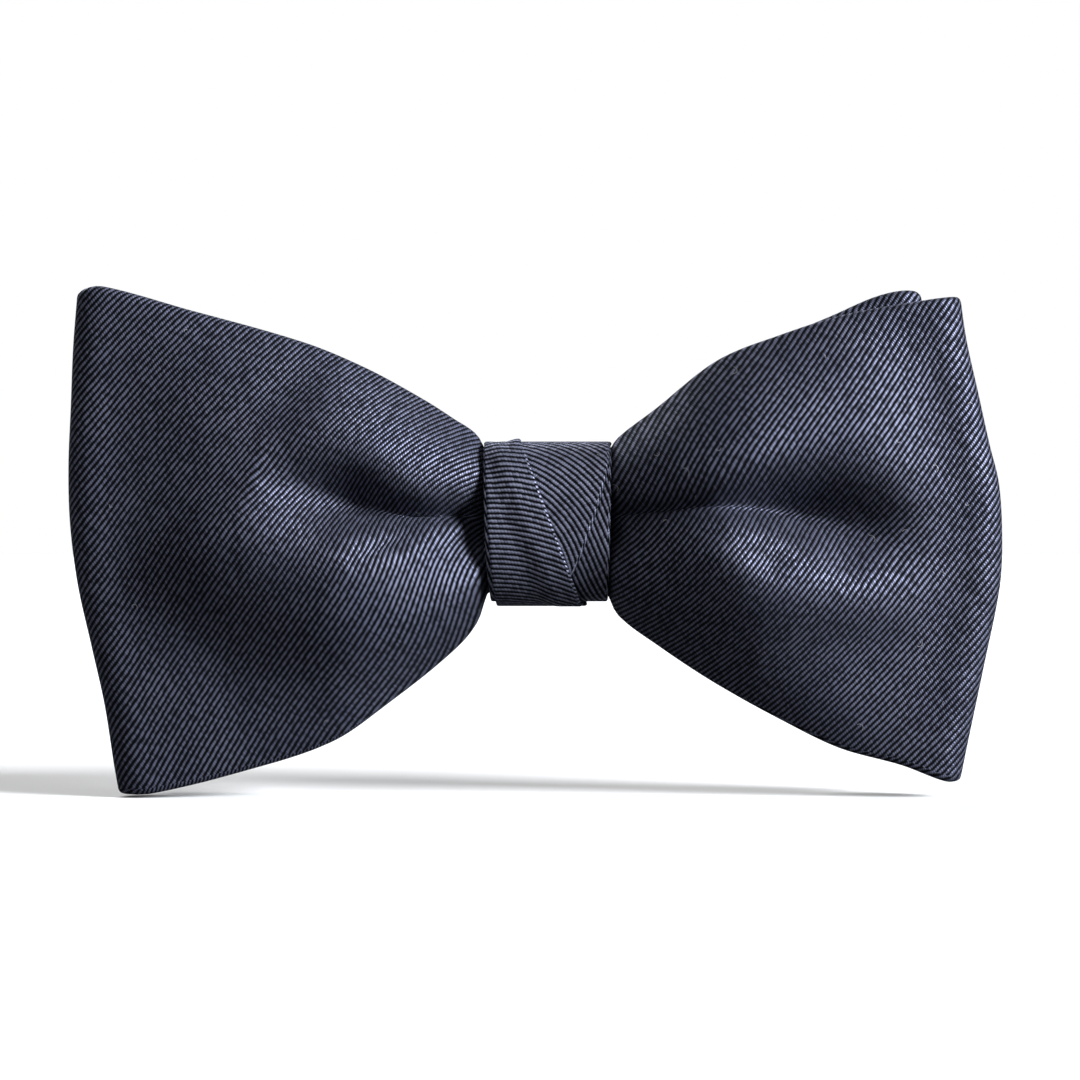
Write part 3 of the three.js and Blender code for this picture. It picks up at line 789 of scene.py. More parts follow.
@dataclass
class Bow:
    """A sewn sleeve of cloth with interlining in it, folded into a loop and gathered.

    Attributes:
        name: What its pieces are called after.
        wings: The wing on each side.
        layers: Where its leaves lie.
        knot_side: From the middle of the knot to its side.
        pinch: Height of the gathered sleeve.
        cloth_cut: The cloth of the sleeve, opened out flat.
        strip_cut: The stiffening strip in it.
        sewn_gap: Between the sleeve's two sewn ends, behind the knot.
        pleat_depth: Of the gather's pleats.
        pleat_turn: The pleats' phase at the gather's edge.
        pleat_ends: Where the pleats run out on the front and on the back leaf.
        settle: Where a leaf has come to its depth at the tip.
        swell_lean: Puts the puff's top nearer to the knot when it is lower.
        swell_crown: How flat the puff's top is from edge to edge.
        folds_run: Where the folds set in by the knot, and where they fade towards the tip.
        thin: Half the sleeve's thickness in the gather.
        full: Half its thickness in the wings.
        thickens: Where it goes from thin to full, out from the knot's side.
        cloth: Thickness of the cloth.
        strip_gap: Between the cloth and the stiffening strip.
        leaf_steps: Rows along a leaf.
        pinch_steps: Rows across half the knot.
        fold_steps: Rows round a tip's fold.
        columns: Points from edge to edge.
        fan_apex: The weave fans out from this far beyond the knot.
        fan_width: How far from the apex the weave is as wide as the cloth, past the knot.
        roll: Length of the tip's rolled fold over its height.
        swirl_reach: How far the gather twists the weave round.
        swirl_heights: The heights that it twists about.
    """

    name: str
    wings: dict
    layers: Layers
    knot_side: float
    pinch: float
    cloth_cut: Cut
    strip_cut: Cut
    sewn_gap: float = 0.8
    pleat_depth: float = 3.4
    pleat_turn: float = 0.85 * 2 * math.pi
    pleat_ends: tuple = (0.4, 0.5)
    settle: float = 0.45
    swell_lean: float = 0.66
    swell_crown: float = 2.4
    folds_run: tuple = (0.08, 0.7)
    thin: float = 0.46
    full: float = 0.78
    thickens: tuple = (-1, 14)
    cloth: float = 0.2
    strip_gap: float = 0.08
    leaf_steps: int = 92
    pinch_steps: int = 8
    fold_steps: int = 14
    columns: int = 81
    fan_apex: float = 170.0
    fan_width: float = 35.0
    roll: float = 1.5
    swirl_reach: float = 15.0
    swirl_heights: tuple = (6.0, -8.0)

    def half(self, out: np.ndarray) -> np.ndarray:
        """Gives half the sleeve's thickness at a distance out from the middle."""
        start, end = (self.knot_side + reach for reach in self.thickens)
        return mix(self.thin, self.full, ease(np.abs(out), start, end))

    def edges(self, wing: Wing, out_low: np.ndarray, out_high: np.ndarray) -> tuple:
        """Gives the heights of the lower and the upper edge of the middle surface.

        Args:
            wing: The wing.
            out_low: Places along the lower edge.
            out_high: Places along the upper edge.

        Returns:
            The lower and the upper heights.
        """
        low = self.pinch / 2
        hold = [(0, low), (self.knot_side - KNOT_LIP, low)]
        down = smooth_through(hold + wing.bottom, out_low) - self.half(out_low)
        rise = smooth_through(hold + wing.top, out_high) - self.half(out_high)
        return -down, rise

    def leaf(self, side: Side, face: Face, t: np.ndarray, v: np.ndarray) -> tuple:
        """Places the middle of a leaf.

        Args:
            side: Which wing.
            face: Which leaf.
            t: -1 in the middle of the knot, 0 at its side, 1 where the tip's fold starts.
            v: -1 at the lower edge, 1 at the upper one.

        Returns:
            Points in millimetres, and the weave's (length, width) coordinates.
        """
        wing = self.wings[side]
        short = self.roll * self.radius() + self.full
        open_share = np.clip(t, 0, 1)
        inner = self.knot_side * (1 + np.minimum(t, 0))
        outs = [
            np.where(t < 0, inner, mix(self.knot_side, edge[-1][0] - short, open_share))
            for edge in (wing.bottom, wing.top)
        ]
        share = (v + 1) / 2
        up = mix(*self.edges(wing, *outs), share)
        out = mix(*outs, share) + self.bulge(wing, up, share) * open_share**2
        front = face is Face.FRONT
        knot = self.layers.front_knot if front else self.layers.back_knot
        tip = self.layers.front_tip if front else self.layers.back_tip
        depth = mix(knot, tip, ease(t, 0, self.settle))
        pleat = self.pleat_depth / 2 * np.cos(self.pleat_turn * v)
        depth = depth + pleat * (1 - ease(t, 0, self.pleat_ends[0 if front else 1]))
        if front:
            swell = np.sin(math.pi * open_share**self.swell_lean)
            swell = swell * np.cos(QUARTER * open_share**4)
            swell = swell * (1 - np.abs(v) ** self.swell_crown)
            depth = depth - wing.puff * swell
        set_in, fade = self.folds_run
        held = ease(t, 0, set_in) * (1 - ease(t, fade, 1))
        for fold in wing.folds if front else wing.back_folds:
            depth = depth + fold.press(out, up) * held
        points = np.stack([side.value * out, depth, up], -1)
        return points, self.weave(side, out, up)

    def radius(self) -> float:
        """Gives the radius of the fold at a tip."""
        return (self.layers.back_tip - self.layers.front_tip) / 2

    def bulge(self, wing: Wing, up: np.ndarray, share: np.ndarray) -> np.ndarray:
        """Gives how far the tip stands out past the line between its corners."""
        reach = smooth_through(wing.tip, up)
        return reach - mix(wing.bottom[-1][0], wing.top[-1][0], share)

    def weave(self, side: Side, out: np.ndarray, up: np.ndarray) -> np.ndarray:
        """Gives weave coordinates that fan out from the knot, twisted by the gather near it.

        Args:
            side: Which wing.
            out: Distances out from the middle of the tie.
            up: Heights above it.

        Returns:
            The (length, width) coordinates.
        """
        for height, twist in zip(self.swirl_heights, self.wings[side].twist):
            arm_out, arm_up = out - self.knot_side, up - height
            turn = math.radians(twist) * np.exp(-(arm_out**2 + arm_up**2) / self.swirl_reach**2)
            out = out + arm_out * (np.cos(turn) - 1) + arm_up * np.sin(turn)
            up = up + arm_up * (np.cos(turn) - 1) - arm_out * np.sin(turn)
        length = np.hypot(out + self.fan_apex, up) - self.fan_apex
        width = np.arctan2(up, out + self.fan_apex) * (self.fan_apex + self.fan_width)
        return np.stack([side.value * length, width], -1)

    def tip_fold(self, side: Side, v: np.ndarray) -> tuple:
        """Places the middle of the fold at a tip, from the back leaf to the front one.

        Args:
            side: Which wing.
            v: -1 at the lower edge, 1 at the upper one.

        Returns:
            Points in millimetres, and the weave's coordinates.
        """
        wing = self.wings[side]
        turn = np.linspace(QUARTER, -QUARTER, self.fold_steps + 1)[1:-1]
        turn, v = np.meshgrid(turn, v, indexing="ij")
        share = (v + 1) / 2
        past = self.roll * self.radius() * (np.cos(turn) - 1) - self.full
        outs = [edge[-1][0] + past for edge in (wing.bottom, wing.top)]
        up = mix(*self.edges(wing, *outs), share)
        out = mix(*outs, share) + self.bulge(wing, up, share)
        middle = (self.layers.back_tip + self.layers.front_tip) / 2
        points = np.stack([side.value * out, middle + self.radius() * np.sin(turn), up], -1)
        weave = self.weave(side, out - self.roll * self.radius() * np.cos(turn), up)
        weave[..., 0] += side.value * self.roll_length(turn)
        return points, weave

    def roll_length(self, turn: np.ndarray) -> np.ndarray:
        """Gives the length of cloth round a tip's roll, from the front leaf to a turn of it.

        Args:
            turn: Turns of the roll.

        Returns:
            Millimetres of cloth.
        """
        fine = np.linspace(-QUARTER, QUARTER, 200)
        speed = self.radius() * np.hypot(self.roll * np.sin(fine), np.cos(fine))
        return np.interp(turn, fine, np.cumsum(speed) * (fine[1] - fine[0]))

    def middle(self) -> tuple:
        """Gives the sleeve's middle surface round the whole loop, and its weave.

        Returns:
            Points in millimetres, and the weave's coordinates.
        """
        v = np.linspace(-1, 1, self.columns)
        gather = np.linspace(0, 1, self.pinch_steps, endpoint=False)
        spread = np.linspace(0, 1, self.leaf_steps + 1)
        start = self.sewn_gap / 2 / self.knot_side - 1
        back_t = np.concatenate([mix(start, 0, gather), spread])
        front_t = np.concatenate([mix(-1, 0, gather), spread])
        halves = []
        for side in Side:
            back_grid, front_grid = (
                np.meshgrid(t, v, indexing="ij") for t in (back_t, front_t)
            )
            back, back_weave = self.leaf(side, Face.BACK, *back_grid)
            front, front_weave = self.leaf(side, Face.FRONT, *front_grid)
            fold, fold_weave = self.tip_fold(side, v)
            whole = self.roll_length(np.array(QUARTER))
            end = 2 * front_weave[-1, :, 0] + side.value * float(whole)
            back_weave[..., 0] = end - back_weave[..., 0]
            points = np.concatenate([back, fold, front[::-1]])
            halves.append((points, np.concatenate([back_weave, fold_weave, front_weave[::-1]])))
        (right, right_weave), (left, left_weave) = halves
        points = np.concatenate([right, left[::-1][1:]])
        return points, np.concatenate([right_weave, left_weave[::-1][1:]])

    def make_cloth(self, material: bpy.types.Material) -> bpy.types.Object:
        """Makes the sleeve: an outer and an inner skin, joined at its sewn ends.

        Args:
            material: Its finish.

        Returns:
            The sleeve.
        """
        points, weave = self.middle()
        across = unit(np.gradient(points, axis=1))
        half = self.half(points[..., 0])
        outer, outer_weave = plump(points, half, across, weave)
        inner, inner_weave = plump(points, half - self.cloth, across, weave)
        rings = np.concatenate([outer, inner[::-1]])
        uv = np.concatenate([outer_weave, inner_weave[::-1], outer_weave[:1]])
        piece = skin(self.name + "_sleeve", rings, uv, material, Ends.JOIN)
        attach(piece, "bow")
        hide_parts(self.name + "_cloth")
        self.cloth_cut.declare(piece, "gathered", ["gather_stitch"])
        return piece

    def make_interlining(self, material: bpy.types.Material) -> bpy.types.Object:
        """Makes the stiffening strip that lies in the sleeve.

        Args:
            material: Its finish.

        Returns:
            The strip.
        """
        points, weave = (part[2:-2, 1:-1] for part in self.middle())
        half = self.half(points[..., 0]) - self.cloth - self.strip_gap
        rings, _ = plump(points, half, unit(np.gradient(points, axis=1)), weave)
        piece = skin(self.name + "_stiffener", rings, None, material)
        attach(piece, "bow")
        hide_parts(self.name + "_interlining")
        self.strip_cut.declare(piece, "gathered", [self.name + "_sleeve"])
        return piece


# ---- Knot ----


class Ribs(Enum):
    """How the twill's ridges run on a ply of the wrap, in the front view."""

    LEVEL = "level"
    ARCHED = "arched"
    STEEP = "steep"


@dataclass
class Ply:
    """One ply of the wrap round the knot.

    Attributes:
        name: The piece's name.
        left: (height, across) along its left edge, from the bottom to the top.
        right: The same along its right edge.
        start: Turn round the knot where it starts, from the front over the top.
        end: Turn where it ends, below zero under the knot.
        inside: (turn, how far it lies outside the band's inner face).
        ribs: How its ridges run.
        cut: Its cloth, lying flat.
        rests_on: The piece under it.
    """

    name: str
    left: list
    right: list
    start: float
    end: float
    inside: list
    ribs: Ribs
    cut: Cut
    rests_on: str


@dataclass
class Wrap:
    """The wrap round the middle: a band with two pleats laid over it in front.

    Attributes:
        rear: Depth of the band's inner face behind.
        front: Its depth in front.
        high: Its height above the middle.
        round_front: How square the section is in front, where 2 is round.
        round_rear: The same behind.
        flat_high: Height above the middle at which the front has turned over.
        ply: Thickness of a ply.
        ply_gap: Between one ply and the next.
        cover_gap: Between the left pleat and the right one under it.
        cover_reach: Where the left pleat rises over it, from its own right edge.
        cover_turn: Where it does so round the knot, in turns below zero.
        lap_turn: How far the pleats reach round to the back.
        tuck_turn: Where the right pleat ends in front, tucked in under the left one.
        corner: Height and width of the left pleat's raised top corner.
        dimple: Depth, width and distance in from the edge of the dimple beside it.
        corner_turn: Where round the knot they lie, and how far they reach.
        level_bow: How much level ridges bend, away from their straightest place.
        level_middle: Where across the knot that place is.
        arch_apex: (across, up) that arched ridges run round.
        arch_radius: Length of cloth for each radian round it.
        steep_lean: Lean of the steep ridges.
        even_at: Distance outside the inner face at which the rows are evenly spread.
        fine_steps: Steps in which the way round is measured.
        steps: Rows round the knot.
        columns: Points across a ply.
        pitch: How much closer the ridges lie than on the wings.
        float_stretch: How much closer the floats lie along a ridge.
    """

    rear: float = -2.62
    front: float = -15.05
    high: float = 9.5
    round_front: float = 2.6
    round_rear: float = 6.5
    flat_high: float = 10.9
    ply: float = 0.56
    ply_gap: float = 0.04
    cover_gap: float = 0.06
    cover_reach: tuple = (-5.5, -2.5)
    cover_turn: tuple = (-1.5, -1.1)
    lap_turn: float = math.radians(138)
    tuck_turn: float = -0.72
    corner: tuple = (0.3, 1.1)
    dimple: tuple = (0.25, 0.9, 2.2)
    corner_turn: tuple = (1.3, 0.22)
    level_bow: float = 0.022
    level_middle: float = -7
    arch_apex: tuple = (-10, -9)
    arch_radius: float = 25
    steep_lean: float = math.radians(66)
    even_at: float = 0.5
    fine_steps: int = 4000
    steps: int = 150
    columns: int = 41
    pitch: float = 0.93
    float_stretch: float = 0.68

    def section(self, turn: np.ndarray, grow: np.ndarray) -> tuple:
        """Gives (depth, height) round the knot.

        Args:
            turn: Angle round the knot, 0 in front and a quarter turn at the top.
            grow: How far outside the band's inner face.

        Returns:
            Depth and height in millimetres.
        """
        middle = (self.rear + self.front) / 2
        reach = (self.rear - self.front) / 2 + grow
        cosine, sine = np.cos(turn), np.sin(turn)
        power = np.where(cosine > 0, 2 / self.round_front, 2 / self.round_rear)
        depth = middle - reach * squared(cosine, power)
        return depth, (self.high + grow) * squared(sine, power)

    def even_turns(self, ply: Ply) -> np.ndarray:
        """Gives turns round the knot that lie evenly along the cloth.

        Args:
            ply: The ply.

        Returns:
            One turn for each row.
        """
        fine = np.linspace(ply.start, ply.end, self.fine_steps)
        depth, height = self.section(fine, self.even_at)
        run = self.run(depth, height)
        return np.interp(np.linspace(0, run[-1], self.steps), run, fine)

    def run(self, depth: np.ndarray, height: np.ndarray) -> np.ndarray:
        """Gives the length of cloth from the first point of a section to each point."""
        step = np.diff(depth, prepend=depth[0]), np.diff(height, prepend=height[0])
        return np.cumsum(np.hypot(*step))

    def ridges(self, ply: Ply, across: np.ndarray, up: np.ndarray) -> np.ndarray:
        """Gives weave coordinates with a ply's own ridges.

        Args:
            ply: The ply.
            across: Place across the knot.
            up: Place along the cloth, up the front.

        Returns:
            Weave coordinates.
        """
        if ply.ribs is Ribs.LEVEL:
            bow = self.level_bow * (across - self.level_middle) ** 2
            return ridge_weave((up + bow) * self.pitch, across * self.float_stretch)
        if ply.ribs is Ribs.ARCHED:
            arm, rise = across - self.arch_apex[0], up - self.arch_apex[1]
            round_it = np.arctan2(rise, arm) * self.arch_radius * self.float_stretch
            return ridge_weave(np.hypot(arm, rise) * self.pitch, round_it)
        lean = self.steep_lean
        steep = across * math.sin(lean) + up * math.cos(lean)
        level = across * math.cos(lean) - up * math.sin(lean)
        return ridge_weave(steep * self.pitch, level * self.float_stretch)

    def lift(self, turn: np.ndarray, inward: np.ndarray) -> np.ndarray:
        """Gives how far the left pleat stands out, over the right pleat and at its top corner.

        Args:
            turn: Place round the knot.
            inward: Distance in from the pleat's right edge.

        Returns:
            Millimetres outwards.
        """
        under = ease(-inward, *self.cover_reach) * ease(-np.abs(turn), *self.cover_turn)
        place, reach = self.corner_turn
        near_top = np.exp(-(((turn - place) / reach) ** 2))
        corner = self.corner[0] * np.exp(-((inward / self.corner[1]) ** 2))
        depth, width, inset = self.dimple
        dimple = depth * np.exp(-(((inward - inset) / width) ** 2))
        return (self.ply + self.cover_gap) * under + near_top * (corner - dimple)

    def make_ply(self, ply: Ply, material: bpy.types.Material) -> bpy.types.Object:
        """Makes one ply of the wrap.

        Args:
            ply: The ply.
            material: Its finish.

        Returns:
            The piece.
        """
        turns = self.even_turns(ply)
        front_height = np.clip(self.section(turns, 0)[1], -self.flat_high, self.flat_high)
        behind = np.abs(turns) > QUARTER
        flat = np.where(behind, np.sign(turns) * self.flat_high, front_height)
        left, right = (smooth_through(edge, flat)[:, None] for edge in (ply.left, ply.right))
        share = np.linspace(0, 1, self.columns)[None]
        across = mix(right, left, share)
        grow = smooth_through(ply.inside, turns)[:, None] + self.ply / 2 + 0 * across
        if ply.ribs is Ribs.LEVEL:
            grow = grow + self.lift(turns[:, None], right - across)
        depth, height = self.section(turns[:, None] + 0 * across, grow)
        points = np.stack([across, depth, height], -1)
        run = self.run(depth[:, 0], height[:, 0])
        up = np.interp(0, turns[::-1], run[::-1]) - run
        weave = self.ridges(ply, across, up[:, None] + 0 * across)
        sideways = np.zeros_like(points)
        sideways[..., 0] = -1
        half = np.full(across.shape, self.ply / 2)
        rings, uv = plump(points, half, sideways, weave)
        piece = skin(ply.name, rings, uv, material)
        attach(piece, "bow")
        ply.cut.declare(piece, "folded", [ply.rests_on])
        return piece

    def make(self, material: bpy.types.Material) -> list:
        """Makes the band and its two pleats.

        Args:
            material: Its finish.

        Returns:
            The three pieces.
        """
        lap = self.lap_turn
        on_band = [(-4, self.ply + self.ply_gap), (4, self.ply + self.ply_gap)]
        plies = [
            Ply(
                "knot_band",
                left=[(-10.9, -6.9), (-4, -7.6), (10.9, -8.05)],
                right=[(-10.9, 7.5), (10.9, 8.0)],
                start=math.pi,
                end=-math.pi,
                inside=[(-4, 0), (4, 0)],
                ribs=Ribs.STEEP,
                cut=Cut(16, 60),
                rests_on="front_bow_sleeve",
            ),
            Ply(
                "knot_right_pleat",
                left=[(-8, -1.6), (2, -2.6), (10.9, -6.5)],
                right=[(-8, 1.6), (-4.4, 3.7), (4.75, 7.0), (10.9, 8.05)],
                start=lap,
                end=self.tuck_turn,
                inside=on_band,
                ribs=Ribs.ARCHED,
                cut=Cut(14.6, 31, 0.8),
                rests_on="knot_band",
            ),
            Ply(
                "knot_left_pleat",
                left=[(-10.9, -6.1), (-4, -7.1), (10.9, -7.95)],
                right=[(-10.9, 4.9), (10.9, -4.45)],
                start=lap,
                end=-lap,
                inside=on_band,
                ribs=Ribs.LEVEL,
                cut=Cut(12.8, 42, 0.72),
                rests_on="knot_band",
            ),
        ]
        pieces = [self.make_ply(ply, material) for ply in plies]
        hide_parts("knot_wrap")
        return pieces


# ---- Thread and clip ----


def wear_thread(
    name: str, path: np.ndarray, radius: float, node: str, material: bpy.types.Material
) -> bpy.types.Object:
    """Makes a twisted thread along a path, in place of a thread of the frame.

    Args:
        name: The piece's name.
        path: The middle of the thread in millimetres.
        radius: Its radius.
        node: The thread of the frame.
        material: Its finish.

    Returns:
        The thread.
    """
    rings = tube(path, radius, PLY_SIDES * THREAD_PLIES, ply=radius * PLY_LAY)
    piece = skin(name, rings, None, material)
    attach(piece, "bow")
    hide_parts(node)
    return piece


@dataclass
class Threads:
    """The threads that gather the bows, close the wrap and hold the clip."""

    gather_radius: float = 0.3
    gather_turns: float = 3
    gather_pitch: float = 1.3
    gather_square: float = 7.5  # where 2 is round
    gather_steps: int = 500
    seam_radius: float = 0.25
    seam_points: int = 14
    seam_rise: float = 0.05
    seam_steps: int = 14  # from one point of the zigzag to the next
    stitch_radius: float = 0.35
    stitch_turn: tuple = (0.5, 0.6)
    stitch_steps: int = 16  # from one spot of its path to the next

    def make(self, material: bpy.types.Material) -> list:
        """Makes the threads.

        Args:
            material: Its finish.

        Returns:
            The pieces.
        """
        turn = np.linspace(0, self.gather_turns, self.gather_steps)
        low, high = corners_of("gathering_thread")
        middle, reach = (low + high) / 2, (high - low) / 2 - self.gather_radius
        power = 2 / self.gather_square
        path = np.stack([
            (turn - self.gather_turns / 2) * self.gather_pitch,
            middle[1] + reach[1] * squared(np.cos(2 * math.pi * turn), power),
            reach[2] * squared(np.sin(2 * math.pi * turn), power),
        ], -1)
        radius = self.gather_radius
        pieces = [wear_thread("gather_stitch", path, radius, "gathering_thread", material)]
        pieces.append(self.make_seam(material))
        return pieces + [self.make_clip_stitch(side, material) for side in Side]

    def make_seam(self, material: bpy.types.Material) -> bpy.types.Object:
        """Makes the zigzag that sews the wrap's end down.

        Args:
            material: Its finish.

        Returns:
            The thread.
        """
        low, high = corners_of("wrap_seam_thread")
        reach = self.seam_radius
        first, last = low[0] + reach, high[0] - reach
        depth = (low[1] + high[1]) / 2
        spots = []
        for i in range(self.seam_points + 1):
            odd = i % 2
            height = high[2] - reach if odd else low[2] + reach
            across = mix(first, last, i / self.seam_points)
            spots.append((across, depth - self.seam_rise * odd, height))
        path = smooth_path(spots, self.seam_steps)
        return wear_thread("wrap_seam", path, reach, "wrap_seam_thread", material)

    def make_clip_stitch(self, side: Side, material: bpy.types.Material) -> bpy.types.Object:
        """Makes the stitch that holds one side of the clip to the knot.

        Args:
            side: Which side.
            material: Its finish.

        Returns:
            The thread.
        """
        node = side.name.lower() + "_clip_stitch"
        low, high = corners_of(node)
        reach = self.stitch_radius
        x, near, far = (low[0] + high[0]) / 2, high[1] - reach, low[1] + reach
        half = high[2] - reach
        turn, drop = self.stitch_turn
        upper = [
            (x, far, turn), (x, far, half - drop), (x, far + turn, half),
            (x, near - turn, half), (x, near, half - drop), (x, near, 0),
        ]
        lower = [(a, b, -c) for a, b, c in upper[-2::-1]]
        name = side.name.lower() + "_clip_thread"
        path = smooth_path(upper + lower, self.stitch_steps)
        return wear_thread(name, path, reach, node, material)


@dataclass
class Clip:
    """The stamped steel clip: a plate, two jaws, their pins and their springs."""

    wire: float = 0.6
    coil: float = 1.3
    turns: float = 4.5
    pitch: float = 0.85
    hinge_out: float = 13.0
    hinge_back: float = 2.5
    edge: float = 0.14  # radius of the stamped edges
    edge_angle: float = math.radians(35)  # of the flattest corner that is rolled over
    edge_segments: int = 2
    coil_back: float = 3.0  # of the coil's middle, where the legs' ends are measured
    plate_leg: tuple = (-5.0, 0.5)  # (out, back) of the end on the plate
    tab_leg: tuple = (-6.0, 4.9)  # (out, back) of the end under the tab
    wire_sides: int = 14
    smoothings: int = 3
    coil_steps: int = 260
    leg_steps: int = 16
    held_rows: int = 20  # of each leg; no rows are made to move with what they rest on

    def soften(
        self, name: str, node: str, body: str, material: bpy.types.Material
    ) -> bpy.types.Object:
        """Makes a copy of a steel part with rolled edges.

        Args:
            name: The copy's name.
            node: The part of the frame that it stands for.
            body: The body that it rides on.
            material: Its finish.

        Returns:
            The copy.
        """
        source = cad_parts[node]
        mesh = source.data.copy()
        mesh.transform(source.matrix_world)
        mesh.name = name
        mesh.materials.clear()
        mesh.materials.append(material)
        piece = bpy.data.objects.new(name, mesh)
        bpy.context.scene.collection.objects.link(piece)
        bevel = piece.modifiers.new("rolled edge", "BEVEL")
        bevel.width = self.edge * MM
        bevel.segments = self.edge_segments
        bevel.limit_method = "ANGLE"
        bevel.angle_limit = self.edge_angle
        mesh.shade_smooth()
        piece.modifiers.new("flats", "WEIGHTED_NORMAL").keep_sharp = True
        bpy.context.view_layer.update()
        shown = piece.evaluated_get(bpy.context.evaluated_depsgraph_get())
        piece.data = bpy.data.meshes.new_from_object(shown)
        piece.modifiers.clear()
        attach(piece, body)
        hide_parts(node)
        return piece

    def make_spring(self, side: Side, material: bpy.types.Material) -> bpy.types.Object:
        """Winds a torsion spring on its pin, with a leg on the plate and one under the tab.

        Args:
            side: Which jaw it shuts.
            material: Its finish.

        Returns:
            The spring.
        """
        angle = np.linspace(0, 2 * math.pi * self.turns, self.coil_steps) - QUARTER
        z = np.linspace(-0.5, 0.5, self.coil_steps) * self.turns * self.pitch
        back = self.coil_back + self.coil * np.sin(angle)
        coil = np.stack([self.coil * np.cos(angle), back, z], -1)
        plate_end, tab_end = np.array([*self.plate_leg, z[0]]), np.array([*self.tab_leg, z[-1]])
        share = np.linspace(0, 1, self.leg_steps, endpoint=False)[:, None]
        path = np.concatenate([
            mix(plate_end, coil[0], share), coil, mix(tab_end, coil[-1], share)[::-1],
        ])
        path[:, 1] -= self.coil_back - self.hinge_back
        path[:, 0] += self.hinge_out
        if side is Side.LEFT:
            path = path * np.array([-1, 1, -1])
        for _ in range(self.smoothings):
            path[1:-1] = (path[:-2] + 2 * path[1:-1] + path[2:]) / 4
        name = side.name.lower()
        rings = tube(path, self.wire / 2, self.wire_sides)
        piece = skin(name + "_torsion_coil", rings, None, material)
        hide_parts(name + "_spring")
        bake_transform(piece)
        return piece

    def make(self, plated: bpy.types.Material, wire: bpy.types.Material) -> list:
        """Makes the clip.

        Args:
            plated: Finish of the plate, jaws and pins.
            wire: Finish of the springs.

        Returns:
            The pieces.
        """
        pieces = [self.soften("stamped_plate", "clip_plate", "bow", plated)]
        for side in Side:
            name = side.name.lower()
            pieces += [
                self.soften(name + "_toothed_jaw", name + "_jaw", name + "_jaw", plated),
                self.soften(name + "_pin", name + "_hinge_pin", "bow", plated),
                self.make_spring(side, wire),
            ]
        return pieces


# ---- Stage ----


@dataclass
class Studio:
    """A pale floor, soft lights and a camera straight in front of the tie."""

    lens: float = 100.0
    sensor: float = 36.0
    view_width: float = 0.1367
    aim_across: float = -0.00095
    aim_up: float = -0.0021
    floor_reach: float = 6.0
    floor_gap: float = 0.0004
    floor_dark: tuple = (0.86, 0.86, 0.86, 1)
    floor_light: tuple = (0.88, 0.88, 0.88, 1)
    floor_unseen: tuple = (0.1, 0.1, 0.1, 1)  # as it lights the tie
    ambient: float = 0.03
    ambient_tint: tuple = (0.9, 0.95, 1.0, 1)

    def floor(self) -> None:
        """Lays a wide pale floor just under the tie."""
        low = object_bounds()[0]
        size = self.floor_reach
        mesh = bpy.data.meshes.new("floor")
        corners = [(-size, -size), (size, -size), (size, size), (-size, size)]
        mesh.from_pydata([(x, y, low.z - self.floor_gap) for x, y in corners], [], [(0, 1, 2, 3)])
        n = Nodes("pale_floor")
        place = n.node("TexCoord").outputs["Object"]
        pale = n.blend(n.noise(place, 3.0), self.floor_dark, self.floor_light)
        seen = n.node("LightPath").outputs["Is Camera Ray"]
        n.wear(
            Base_Color=n.blend(seen, self.floor_unseen, pale),
            Roughness=0.9,
            Specular_IOR_Level=0.05,
        )
        mesh.materials.append(n.material)
        piece = bpy.data.objects.new("floor", mesh)
        bpy.context.scene.collection.objects.link(piece)
        piece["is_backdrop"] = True

    def light(
        self, name: str, towards: tuple, strength: float, spread: float, tint: tuple = (1, 1, 1)
    ) -> None:
        """Adds a soft distant light.

        Args:
            name: The light's name.
            towards: Where it stands, seen from the tie.
            strength: How strong it is.
            spread: Degrees of sky that it fills.
            tint: Its colour.
        """
        lamp = bpy.data.lights.new(name, "SUN")
        lamp.color = tint
        lamp.energy = strength
        lamp.angle = math.radians(spread)
        holder = bpy.data.objects.new(name, lamp)
        holder.rotation_mode = "QUATERNION"
        holder.rotation_quaternion = Vector(towards).to_track_quat("Z", "Y")
        bpy.context.scene.collection.objects.link(holder)

    def lights(self) -> None:
        """Sets the lights and a pale surround."""
        self.light("key", (0.93, -0.4, 0.4), strength=9.0, spread=26, tint=(0.93, 0.96, 1.0))
        self.light("fill", (-0.45, -0.9, 0.5), strength=1.1, spread=60)
        self.light("rear", (-0.4, 0.8, 0.9), strength=2.0, spread=50)
        world = bpy.data.worlds.new("surround")
        world.use_nodes = True
        tree = world.node_tree
        path = tree.nodes.new("ShaderNodeLightPath")
        lit = tree.nodes["Background"]
        lit.inputs[0].default_value = self.ambient_tint
        lit.inputs[1].default_value = self.ambient
        seen = tree.nodes.new("ShaderNodeBackground")
        seen.inputs[0].default_value = (1, 1, 1, 1)
        seen.inputs[1].default_value = 1.0
        both = tree.nodes.new("ShaderNodeMixShader")
        tree.links.new(path.outputs["Is Camera Ray"], both.inputs[0])
        tree.links.new(lit.outputs[0], both.inputs[1])
        tree.links.new(seen.outputs[0], both.inputs[2])
        tree.links.new(both.outputs[0], tree.nodes["World Output"].inputs[0])
        bpy.context.scene.world = world
        bpy.context.scene.view_settings.view_transform = "Standard"

    def camera(self) -> None:
        """Stands the camera straight in front."""
        data = bpy.data.cameras.new("camera")
        data.lens = self.lens
        data.sensor_width = self.sensor
        camera = bpy.data.objects.new("camera", data)
        distance = self.view_width * self.lens / self.sensor
        camera.location = (self.aim_across, CAD_BOX[0].y - distance, self.aim_up)
        camera.rotation_euler = (QUARTER, 0, 0)
        bpy.context.scene.collection.objects.link(camera)
        bpy.context.scene.camera = camera


# ---- Pattern ----


